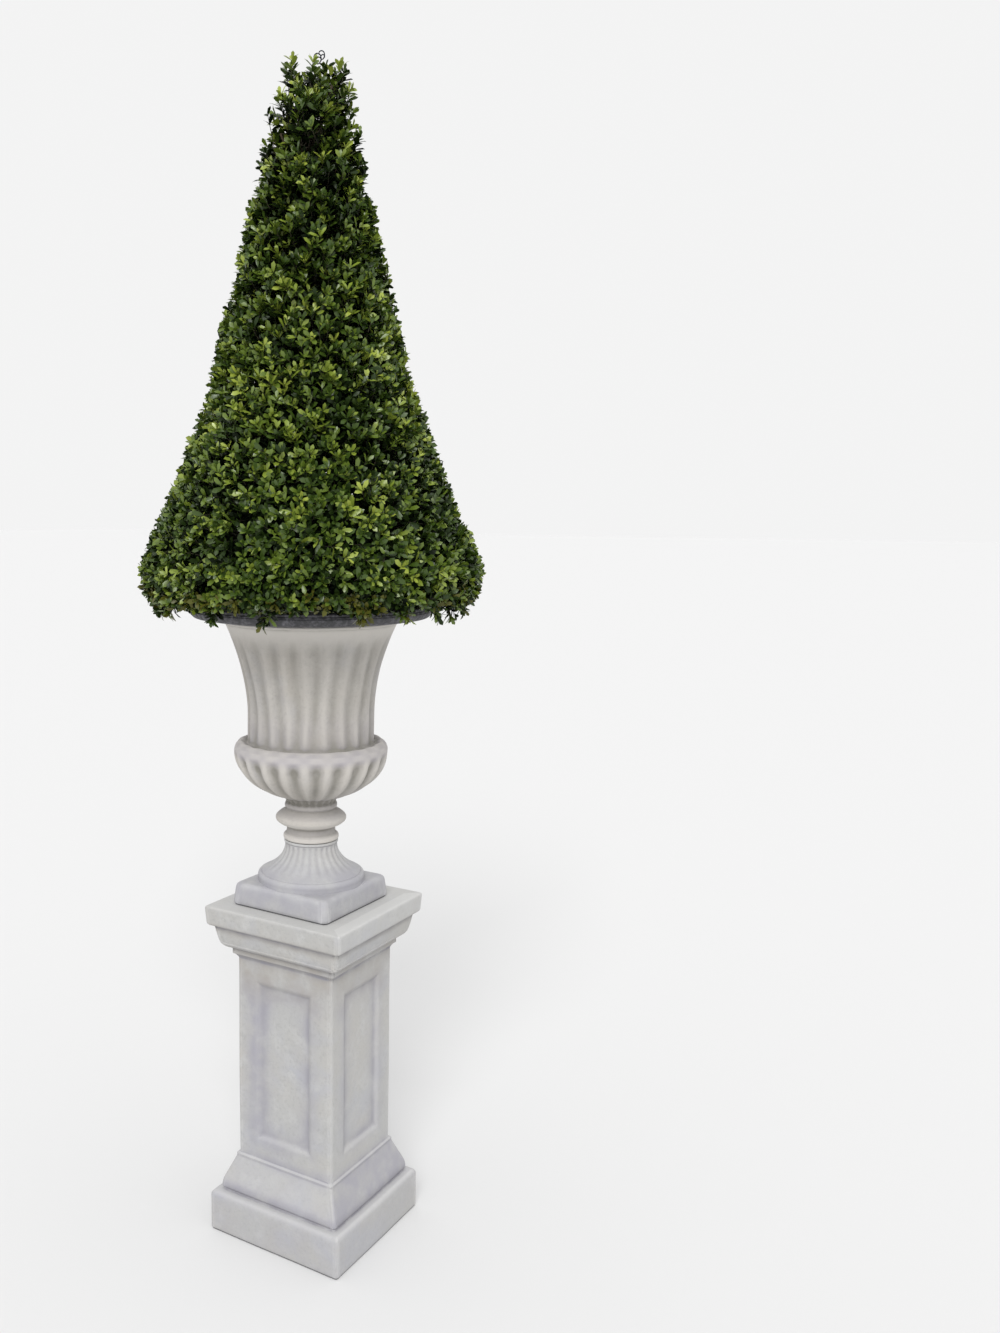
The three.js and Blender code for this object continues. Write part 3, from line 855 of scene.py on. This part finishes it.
def pedestal_tints(grid):
    """The stone's tints over the pedestal: dirt and painted shade, veils of painted shade, painted light
    and a line of painted contact shadow.
    """
    height = grid[..., 2]
    on_shaft = (height > SHAFT_FOOT + 12) & (height < SHAFT_HEAD - 12)
    on_cove = (height > PLINTH_HEIGHT) & (height < SHAFT_FOOT)
    on_right = grid[..., 0] > np.abs(grid[..., 1])
    # Hollows and undersides darken with dirt and painted shade, less on the shaft
    hollow = hollows_of(grid, passes=24, full=1.8) * np.where(on_shaft, SHAFT_DIRT_AND_SHADE, 1)
    # Broad hollows, level bands and the panels' borders take painted shade
    shade_veil = np.clip(hollows_of(grid, passes=90, full=2.5), 0, 0.9) + bands(height, PEDESTAL_SHADES)
    shade_veil = np.maximum(shade_veil, panel_shade_veil(grid))
    # More painted shade on the base all round and in the right cove
    shade_veil += BASE_SHADE_VEIL * (height < SHAFT_FOOT) + RIGHT_COVE_SHADE_VEIL * (on_right & on_cove)
    # Painted light on the right face above the cove, and more on its slab
    right_light = RIGHT_LIGHT * ~on_cove + RIGHT_SLAB_LIGHT * (height > SLAB_FOOT)
    return {
        "hollow": np.clip(hollow + bands(height, PEDESTAL_SHADOW_BANDS), -1, 1),
        "shade_veil": np.clip(shade_veil, 0, 1),
        "dun": between(height, SHAFT_HEAD - DUN_DEPTH, SHAFT_HEAD - DUN_FULL),
        "painted_light": TOP_LIGHT * upwardness(grid) + right_light * on_right,
        "line": GROUND_CONTACT_SHADOW * (height < LINE_HEIGHT),
    }


def make_pedestal(stone):
    """The pedestal: one casting with a moulded foot, a panelled shaft and a cap."""
    grid = square_grid(pedestal_outline(), CAST_EDGE, face_shares(), panel_sink)
    placed = uneven(grid, amount=1.4, size=60, seed=5)
    piece = grid_piece("pedestal_casting", placed, stone, replaces="pedestal")
    give_tints(piece, pedestal_tints(grid))


# Urn


def groove(angle, count, sharpness):
    """From 1 in the middle of a groove to 0 on the ribs beside it."""
    turn = count * (angle - FLUTE_TURN * DEGREE)
    return (0.5 + 0.5 * np.cos(turn)) ** sharpness


def urn_plinth_grid():
    """The square plinth under the urn's foot."""
    outline = divided(softened(URN_PLINTH_CORNERS), 5)
    return square_grid(outline, URN_PLINTH_EDGE, np.linspace(-1, 1, 24))


def urn_trumpet_grid():
    """The ring and the fluted trumpet of the urn's foot, up to the joint."""
    head = NECK_RADIUS + 3
    spread = FOOT_RING_RADIUS - 8 - head
    heights = np.linspace(FOOT_RING_TOP, FOOT_TOP - 8, 30)
    rise = between(heights, FOOT_RING_TOP, FOOT_TOP)
    joint = [
        (head, FOOT_TOP - 6),
        (head + 2.5, FOOT_TOP - 5, 1),
        (head + 2.5, FOOT_TOP, 1),
        (head - 12, FOOT_TOP),
    ]
    profile = np.concatenate(
        [
            [(FOOT_RING_RADIUS, URN_PLINTH_TOP - 4)],
            arc(FOOT_RING_RADIUS - 7, FOOT_RING_TOP - 10, 7, 9, -20, 100, 8),
            np.stack([head + spread * (1 - rise) ** 2.6, heights], 1),
            softened(joint),
        ]
    )

    def fluted(radius, height, angle):
        full = strength_in((FOOT_RING_TOP, FOOT_FLUTE_TOP, FOOT_TOP - 14, FOOT_TOP - 6), height)
        return radius - FOOT_FLUTE_DEPTH * full * groove(angle, FOOT_FLUTE_COUNT, 1)

    return round_grid(divided(profile, 4), FOOT_FLUTE_COUNT * 12, fluted)


def foot_tints(grid):
    """The stone's tints over the urn's foot, with painted shade, painted light and a line of painted
    contact shadow.
    """
    height = grid[..., 2]
    return {
        "hollow": hollows_of(grid),
        "shade_veil": FOOT_SHADE_VEIL * strength_in(FOOT_SHADE_VEIL_SPAN, height),
        "dun": np.zeros_like(height),
        "painted_light": FOOT_LIGHT * upwardness(grid),
        "line": FOOT_CONTACT_SHADOW * (height < PEDESTAL_HEIGHT + LINE_HEIGHT),
    }


def make_urn_foot(stone):
    """The urn's foot: its square plinth, then its trumpet."""
    for name, grid, replaces in (
        ("urn_plinth", urn_plinth_grid(), "urn_foot"),
        ("urn_trumpet", urn_trumpet_grid(), None),
    ):
        placed = uneven(in_urn_frame(grid), amount=0.7, size=45, seed=8)
        piece = grid_piece(name, placed, stone, replaces)
        give_tints(piece, foot_tints(grid))


def vase_radius(radius, height, angle):
    """The vase's radius with the hollows between its gadroons, and its flutes, cut in."""
    waver = FLUTE_WAVER * DEGREE * np.sin(height / 34 + 2.4 * np.sin(3 * angle))
    hollow = groove(angle + 0.5 * waver, FLUTE_COUNT, 0.8) * strength_in(GADROON_SPAN, height)
    flute = groove(angle + waver, FLUTE_COUNT, 0.95) * strength_in(FLUTE_SPAN, height)
    bowl = radius * (1 - GADROON_DEPTH / BOWL_RADIUS * hollow)
    return np.where(height < BELL_FOOT, bowl, radius - FLUTE_DEPTH * flute)


def vase_tints(grid):
    """The stone's tints over the vase, with painted shade, painted light and a dark joint at its foot."""
    height = grid[..., 2]
    on_bell = height > BELL_FOOT + 12
    # Hollows and undersides darken with dirt and painted shade, less on the bell
    hollow = hollows_of(grid, passes=24, full=1.8, under=0.15) * np.where(on_bell, BELL_DIRT_AND_SHADE, 1)
    dun = np.clip(bands(height, VASE_SHADES), 0, 1)
    painted_light = VASE_LIGHT * upwardness(grid) + bands(height, VASE_LIGHTS)
    # Painted light on the bell's top, where the lip casts its shadow
    painted_light += eased(between(height, BELL_TOP - BELL_LIGHT_DEPTH, BELL_TOP))
    return {
        "hollow": hollow,
        "shade_veil": np.clip(strength_in(RIM_SPAN, height) + dun, 0, 1),
        "dun": dun,
        "painted_light": np.clip(painted_light, 0, 1),
        "line": VASE_LINE * (height < FOOT_TOP + 2),
    }


def make_urn_vase(stone):
    """The vase: turned collars, gadrooned bowl with a rolled rim, and fluted bell with a bead."""
    heights = np.linspace(BELL_FOOT + 12, BELL_TOP, 60)
    rise = between(heights, BELL_WAIST, BELL_TOP)
    profile = np.concatenate(
        [
            softened(COLLAR_CORNERS),
            arc(0, BOWL_MIDDLE, BOWL_RADIUS, BOWL_DROP, -68, 0, 34),
            arc(BOWL_RADIUS - 16, BOWL_MIDDLE, 16, 24, 8, 90, 12),
            [(BELL_RADIUS + 6, BELL_FOOT + 7), (BELL_RADIUS + 2, BELL_FOOT + 7)],
            np.stack([BELL_RADIUS + (BELL_TOP_RADIUS - BELL_RADIUS) * rise**1.8, heights], 1),
            softened(MOUTH_CORNERS),
        ]
    )
    grid = round_grid(divided(profile, 4.5), FLUTE_COUNT * 14, vase_radius)
    placed = uneven(in_urn_frame(grid), amount=0.9, size=50, seed=9)
    piece = grid_piece("urn_casting", placed, stone, replaces="urn_vase")
    give_tints(piece, vase_tints(grid))


def egged(radius, height, angle):
    """The lip's radius with the gaps between its small egg-shaped bumps cut in."""
    egg = np.sqrt(np.clip(1 - np.abs(np.sin(LIP_EGGS * angle / 2)) ** 3, 0, 1))
    band = strength_in((LIP_BOTTOM, LIP_BOTTOM + 4, LIP_BOTTOM + 15, LIP_BOTTOM + 19), height)
    return radius - LIP_EGG_DEPTH * (1 - egg) * band * (radius > LIP_RADIUS - 12)


def make_lip(stone):
    """The dark lip: a wide ring with small egg-shaped bumps round its edge."""
    grid = round_grid(divided(softened(LIP_CORNERS), 9), LIP_EGGS * 6, egged)
    placed = uneven(in_urn_frame(grid), amount=0.8, size=50, seed=10)
    grid_piece("lip_ring", placed, stone, replaces="urn_lip", ring=True)


def make_stem(bark):
    """The short stem with ridged bark, from its flat foot on the fill up into the foliage."""

    def ridged(radius, height, angle):
        ridges = np.sin(9 * angle + 0.02 * height) + 0.6 * np.sin(17 * angle - 0.05 * height)
        return radius - 0.9 - BARK_DEPTH * ridges * np.sin(height / 17 + 3 * angle)

    grid = in_urn_frame(round_grid(divided(softened(STEM_CORNERS), 4), 48, ridged))
    grid_piece("stem_bark", grid, bark, replaces="stem")


# Foliage rule, as in the solid


def random_from(seed, rows, count):
    """Rows of numbers from 0 to 1, always the same for the same seed."""
    largest = 2**31 - 1
    numbers = []
    for _ in range(rows * count):
        seed = seed * 16807 % largest
        numbers.append(seed / largest)
    return np.reshape(numbers, (rows, count))


def strays(seed, rows, count):
    """Rows of numbers from -0.5 to 0.5."""
    return random_from(seed, rows, count) - 0.5


def reach_at(height):
    """The foliage's reach at a height."""
    reaches, levels = zip(*FOLIAGE_OUTLINE)
    return np.interp(height, levels, reaches)


def in_foliage_space(points):
    """Whether points are in the foliage's own space, clear of the lip and everything under it."""
    radius = np.hypot(points[..., 0], points[..., 1])
    height = points[..., 2]
    over_urn = (radius < LIP_RADIUS + 4) & (height < LIP_TOP + 3)
    lowest = FOLIAGE_OUTLINE[0][1]
    return ~over_urn & (height < FOLIAGE_TOP) & (height > lowest) & (radius < reach_at(height))


def dealt(count):
    """Heights and angles of places dealt evenly over the cone's side, from the top down."""
    place = np.arange(count)
    heights = np.linspace(CORE_TOP, CORE_FOOT, 400)
    area = np.cumsum(reach_at(heights))
    return np.interp((place + 0.5) / count, area / area[-1], heights), place * GOLDEN_ANGLE


def joined(parts):
    """Groups of arrays, joined array by array."""
    return [np.concatenate(arrays) for arrays in zip(*parts)]


def on_core(height, angle):
    """Points on the core, under the leaf tips, at heights and angles."""
    return around(reach_at(height) - CORE_DEPTH, angle, height)


def way_out(starts, directions, step=2.0, furthest=140.0):
    """The way from each start to the edge of the foliage's space along its direction."""
    way = np.full(len(starts), step)
    going = np.ones(len(starts), bool)
    while going.any() and way.max() < furthest:
        ahead = starts + directions * way[:, None]
        going &= in_foliage_space(ahead)
        way[going] += step
    return way - step


# Foliage: sprigs, leaves, twigs and boughs


def strewn(height, angle, lift, spreads, random):
    """Roots, lifts and sweeps of sprigs about middle values, spread by three rows of strays."""
    return (
        on_core(height + spreads[0] * random[0], angle),
        (lift + spreads[1] * random[1]) * DEGREE,
        angle + spreads[2] * DEGREE * random[2],
    )


def side_sprigs(count, seed):
    """The sprigs dealt evenly over the cone's side."""
    random = strays(seed, 4, count)
    height, angle = dealt(count)
    angle = angle + SIDE_STRAY * DEGREE * random[0]
    lift = np.interp(height, LIFT_LEVELS, LIFTS)
    return strewn(height, angle, lift, SIDE_SPREADS, random[[3, 1, 2]])


def ring_sprigs():
    """Sprigs along the skirt's edge and brim, and sprigs that rise at the crown."""
    rings = []
    for number, (count, height, lift, lift_spread) in enumerate(SPRIG_RINGS):
        random = strays(41 + number, 4, count)
        angle = (np.arange(count) + random[0]) / count * 2 * math.pi
        spreads = (RING_ROOT_SPREAD, lift_spread, RING_SWEEP_SPREAD)
        rings.append(strewn(height, angle, lift, spreads, random[[3, 1, 2]]))
    return joined(rings)


def hanging_sprigs():
    """The few sprays that hang below the skirt's edge."""
    random = strays(67, 3, len(HANGING_SIDES) * SPRAY_SPRIGS)
    angle = (np.repeat(HANGING_SIDES, SPRAY_SPRIGS) + SPRAY_TURN_SPREAD * random[0]) * DEGREE
    return strewn(CORE_FOOT - 2, angle, SPRAY_LIFT, SPRAY_SPREADS, random[[1, 2, 1]])


def dent_at(tips):
    """How far sprigs stay behind the outline: each is in a tuft, and tufts vary most at the crown."""
    random = random_from(83, 2, TUFTS)
    height, angle = dealt(TUFTS)
    height = height + TUFT_STRAY * (random[1] - 0.5)
    centres = around(reach_at(height), angle + 1, height)
    apart = np.linalg.norm(tips[:, None] - centres, axis=2)
    bite = random[0][apart.argmin(1)] ** 2 + 0.15 * (apart.min(1) / TUFT_WIDTH) ** 2
    side = np.arctan2(tips[:, 1], tips[:, 0]) / DEGREE
    for tuft_side, tuft_height, tuft_bite in CROWN_TUFTS:
        turn = (side - tuft_side + 180) % 360 - 180
        sideways = turn / (CROWN_HALF_ANGLE + BITE_HALF_ANGLE * tuft_bite)
        upright = (tips[:, 2] - tuft_height) / CROWN_HALF_HEIGHT
        near = np.exp(-(sideways**4 + upright**2))
        bite = bite * (1 - near) + tuft_bite * near
    return np.interp(tips[:, 2], DENT_LEVELS, DENT_DEPTHS) * np.clip(bite, 0, 1)


def grown_sprigs():
    """All sprigs: root, direction, reach, two ways across, turn, lowest leaf, whether inside."""
    parts = [side_sprigs(SIDE_SPRIGS, 7), ring_sprigs(), side_sprigs(INNER_SPRIGS, 11), hanging_sprigs()]
    root, lift, sweep = joined(parts)
    kind = np.repeat(np.arange(len(parts)), [len(part[0]) for part in parts])
    inside, hangs = kind == 2, kind == 3
    direction = around(np.cos(lift), sweep, np.sin(lift))
    random = random_from(19, 3, len(root))
    way = way_out(root, direction)
    dent = np.where(hangs, 0, dent_at(root + direction * way[:, None])) + INNER_DEPTH * inside
    reach = way + 2 - dent - REACH_STRAY * random[0]
    back = np.minimum(BACK_SHARE * dent, 0.5 * np.hypot(root[:, 0], root[:, 1]))
    root = root - back[:, None] * unit(root * LEVEL)
    reach = reach + back
    wave = np.sin(7 * sweep + 1) + np.sin(11 * sweep)
    lowest = np.where(hangs, 0, SKIRT_EDGE + SKIRT_WAVE * wave + SKIRT_STRAY * random[2])
    thinned = random[2] < (THIN_SHARE + THIN_BY_DENT * dent) * between(root[:, 2], THIN_FOOT, THIN_HEAD)
    kept = (reach > SHORTEST_SPRIG) & ~thinned & ~(inside & (root[:, 2] > INNER_TOP))
    side = np.stack([-np.sin(sweep), np.cos(sweep), np.zeros(len(sweep))], -1)
    up = np.cross(direction, side)
    turn = 2 * math.pi * random[1]
    return [part[kept] for part in (root, direction, reach, side, up, turn, lowest, inside)]


def leaves_on(sprigs):
    """Every leaf's root, direction, facing, size and shade."""
    root, direction, reach, side, up, turn, lowest, inside = sprigs
    count = len(root)
    # Inner sprigs take the darkest colour, painted shade deep in the foliage
    shade = np.where(inside, 0, sprig_shades(root))
    twig = reach - LEAF_LENGTH * LAST_PAIR_SHARE
    end = root + direction * twig[:, None]
    clear = TIP_CLEARANCE * random_from(29, 1, count).T
    old_share = OLD_SHARE * between(root[:, 2], OLD_HEAD, OLD_FOOT)
    old = (shade < 4) & (random_from(31, 1, count)[0] < old_share) & ~inside
    found = []
    for number, (back, forward, size, lighter) in enumerate(LEAF_PAIRS):
        random = random_from(101 + number, 6, count)
        on_twig = twig + back > -SPRIG_SUNK
        place = end + direction * back
        for half in (0, 1):
            angle = turn + (number * 90 + half * 180) * DEGREE + TURN_SPREAD * (random[half] - 0.5)
            out = side * np.cos(angle)[:, None] + up * np.sin(angle)[:, None]
            stray = random[2 + half, :, None] - 0.5
            lean = unit(out + direction * (forward + LEAN_SPREAD * stray))
            roll = np.cross(lean, direction) * (ROLL_SPREAD * stray)
            length = LEAF_LENGTH * size * (LEAST_SIZE + SIZE_SPREAD * random[4 + half])
            tip = place + lean * length[:, None]
            within = in_foliage_space(tip + clear * unit(tip * LEVEL))
            # End pairs are lighter as fresh growth, deeper pairs darker as painted shade
            leaf_shade = np.clip(shade + np.where(inside, 0, lighter), 0, FRESHEST)
            leaf_shade = np.where(old & (leaf_shade > 0), FRESHEST + 1, leaf_shade)
            kept = on_twig & within & (tip[:, 2] > lowest)
            parts = (place, lean, unit(direction + roll), length, leaf_shade)
            found.append([part[kept] for part in parts])
    return joined(found)


def sprig_shades(root):
    """A shade for each sprig, from shaded 0 to fresh, in drifts and by chance, with painted shade at the
    brim and painted light at the crown.
    """
    random = random_from(57, 1, len(root))[0]
    first = np.sin(root @ np.array([0.012, 0.009, 0.016]))
    second = np.sin(root @ np.array([-0.008, 0.015, 0.011]) + 2)
    brim_painted_shade = -0.10 * between(root[:, 2], 1750, 1500) - 0.14 * between(root[:, 2], 1500, 1430)
    crown_painted_light = 0.10 * between(root[:, 2], 2250, 2450)
    return np.digitize(random + 0.05 * (first + second) + brim_painted_shade + crown_painted_light, SHADE_LIMITS)


def leaf_points(root, direction, facing, length):
    """The points of each leaf: four along its bent midrib, then two on each edge."""
    across = unit(np.cross(facing, direction))
    up = np.cross(direction, across)
    shape = np.array(LEAF_SHAPE)
    shape[:, 1] *= LEAF_WIDTH / LEAF_LENGTH
    ways = (direction, across, up)
    bent = sum(shape[:, k, None] * way[:, None] for k, way in enumerate(ways))
    return root[:, None] + length[:, None, None] * bent


def make_leaves(leaves):
    """Leaves joined by shade, into pieces that each stay small enough."""
    root, direction, facing, length, shade = leaves
    points = in_urn_frame(leaf_points(root, direction, facing, length))
    faces = np.array(LEAF_FACES)
    for number, (name, colour, gloss) in enumerate(LEAF_SHADES):
        material = leaf_material(name, colour, gloss)
        chosen = np.flatnonzero(shade == number)
        for part, start in enumerate(range(0, len(chosen), LARGEST_PIECE)):
            some = points[chosen[start : start + LARGEST_PIECE]]
            offsets = np.arange(len(some))[:, None, None] * points.shape[1]
            triangles = (faces + offsets).reshape(-1, 3).tolist()
            new_piece(f"{name}_{part + 1}", some.reshape(-1, 3), triangles, material)


def tube_piece(name, paths, radii, sides, material, replaces=None):
    """A piece of open tubes along paths, which all have the same radii along them."""
    count, steps = paths.shape[:2]
    along = unit(np.gradient(paths, axis=1))
    across = unit(np.cross(along, np.array([0.31, 0.17, 0.93])))
    up = np.cross(along, across)
    angles = np.arange(sides) / sides * 2 * math.pi
    ring = across[:, :, None] * np.cos(angles)[:, None] + up[:, :, None] * np.sin(angles)[:, None]
    points = paths[:, :, None] + ring * np.asarray(radii)[..., None, None]
    offsets = np.arange(count)[:, None, None] * steps * sides
    faces = (grid_quads(steps, sides) + offsets).reshape(-1, 4).tolist()
    new_piece(name, in_urn_frame(points.reshape(-1, 3)), faces, material, replaces)


def bough_paths():
    """Boughs from the stem and leader out to just under the core's side."""
    random = strays(23, 2, BOUGHS)
    end_height, angle = dealt(BOUGHS)
    drop = BOUGH_DROP + BRIM_DROP * between(end_height, CORE_FOOT, 1700) + DROP_STRAY * random[0]
    start_height = np.clip(end_height - drop, FILL_TOP + 60, LEADER_TOP - 40)
    ends = on_core(end_height, angle + BOUGH_TURN_SPREAD * DEGREE * random[1])
    ends[:, :2] *= BOUGH_REACH
    starts = around(0, angle, start_height)
    controls = starts * 0.5 + ends * 0.5 + around(0, angle, -BOUGH_SAG * drop)
    return curved(starts, controls, ends, 8)


def make_leader(bark):
    """The leader that the stem becomes inside the foliage."""
    heights = np.linspace(STEM_TOP, LEADER_TOP, 14)
    wobble = [LEADER_WOBBLE * np.sin(heights / 90), LEADER_WOBBLE * np.sin(heights / 70)]
    path = np.stack([*wobble, heights], -1)
    path[0, :2] = 0
    radii = np.linspace(STEM_TIP_RADIUS, LEADER_TIP_RADIUS, len(path))
    tube_piece("leader", path[None], radii, 10, bark, replaces="foliage_cone")


def make_twigs(sprigs, boughs, bark, block=500):
    """A twig for each sprig, from the nearest joint of a bough; joints are sought a block at a time."""
    root, direction, reach = sprigs[:3]
    joints = boughs[:, 3:].reshape(-1, 3)
    nearest = [
        ((root[first : first + block, None] - joints) ** 2).sum(2).argmin(1)
        for first in range(0, len(root), block)
    ]
    start = joints[np.concatenate(nearest)]
    low = root - direction * SPRIG_SUNK
    tip = root + direction * (reach - LEAF_LENGTH * TWIG_END_SHARE)[:, None]
    bend = (start + low) / 2 + np.array([0, 0, -4])
    tube_piece("twigs", np.stack([start, bend, low, tip], 1), TWIG_RADII, 3, bark)


def make_wires(material):
    """Loose ends at the crown: a curled wire with two loops, and a bare forked twig."""
    turn = np.linspace(0, 2 * math.pi * 1.6, 26)
    loops = []
    for x, y, z, size in CROWN_LOOPS:
        across = x + size * np.cos(turn)
        upright = z + size * np.sin(turn) + turn
        loops.append(np.stack([across, y + 3 * np.sin(turn / 2), upright], 1))
    tube_piece("crown_wires", np.array(loops), WIRE_RADIUS, 5, material)
    foot, fork, left_tip, right_tip = CROWN_TWIG
    starts = np.array([foot, fork, fork], float)
    ends = np.array([fork, left_tip, right_tip], float)
    controls = (starts + ends) / 2 + np.array([-3, 2, 3])
    tube_piece("crown_twig", curved(starts, controls, ends, 5), CROWN_TWIG_RADIUS, 5, material)


# Stage, light and camera


def make_stage():
    """A plain pale floor, much wider than the view."""
    corners = [(x * FLOOR_HALF, y * FLOOR_HALF, 0) for x, y in ((-1, -1), (1, -1), (1, 1), (-1, 1))]
    mesh = bpy.data.meshes.new("floor")
    mesh.from_pydata(corners, [], [(0, 1, 2, 3)])
    floor = add_object("floor", mesh)
    material, _ = new_material("floor_paint", FLOOR_COLOUR, 0.9)
    mesh.materials.append(material)


def make_light():
    """Soft white light all round, and a soft lamp from above on the left."""
    world = bpy.data.worlds.new("studio")
    world.use_nodes = True
    inputs = world.node_tree.nodes["Background"].inputs
    inputs["Color"].default_value = (1, 1, 1, 1)
    inputs["Strength"].default_value = SKY_STRENGTH
    scene.world = world
    sun = bpy.data.lights.new("window", "SUN")
    sun.energy = SUN_STRENGTH
    sun.angle = SUN_SPREAD * DEGREE
    lamp = add_object("window", sun)
    lamp.rotation_euler = (SUN_TILT * DEGREE, 0, (CAMERA_TURN - SUN_LEFT) * DEGREE)


def make_camera():
    """The camera where the photograph was taken from."""
    data = bpy.data.cameras.new("camera")
    data.sensor_width = SENSOR
    data.lens = FOCAL_PIXELS / PICTURE_HEIGHT * SENSOR
    data.shift_x = (PICTURE_WIDTH / 2 - OBJECT_AXIS_PIXEL) / PICTURE_HEIGHT
    camera = add_object("camera", data)
    camera.location = [value * MM for value in CAMERA_PLACE]
    camera.rotation_euler = ((90 - CAMERA_PITCH) * DEGREE, 0, CAMERA_TURN * DEGREE)
    scene.camera = camera


def finish_fill():
    """The planting fill stays as its solid, with a crumbly finish."""
    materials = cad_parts["planting_fill"].data.materials
    materials.clear()
    materials.append(crumbly("planting_mix", *MIX_COLOURS, scale=90, depth=2.0))


def main():
    """Makes every piece."""
    make_camera()
    make_light()
    make_stage()
    make_pedestal(cast_stone("pedestal_stone", PEDESTAL_COLOURS, patchiness=0.32, wear_and_highlight=0.05))
    make_urn_foot(cast_stone("foot_stone", FOOT_COLOURS, patchiness=0.3, wear_and_highlight=0.1))
    make_urn_vase(cast_stone("urn_stone", URN_COLOURS, patchiness=0.5, wear_and_highlight=0.45))
    make_lip(dark_stone())
    finish_fill()
    bark = crumbly("stem_bark", *BARK_COLOURS, scale=60, depth=1.2)
    make_stem(bark)
    make_leader(bark)
    boughs = bough_paths()
    tube_piece("boughs", boughs, np.linspace(*BOUGH_RADII, boughs.shape[1]), 5, bark)
    sprigs = grown_sprigs()
    make_twigs(sprigs, boughs, crumbly("twig_bark", *TWIG_COLOURS, scale=80, depth=0.4))
    make_wires(crumbly("wire", *WIRE_COLOURS, scale=80, depth=0.2))
    make_leaves(leaves_on(sprigs))
    scene.view_settings.view_transform = "Standard"


main()
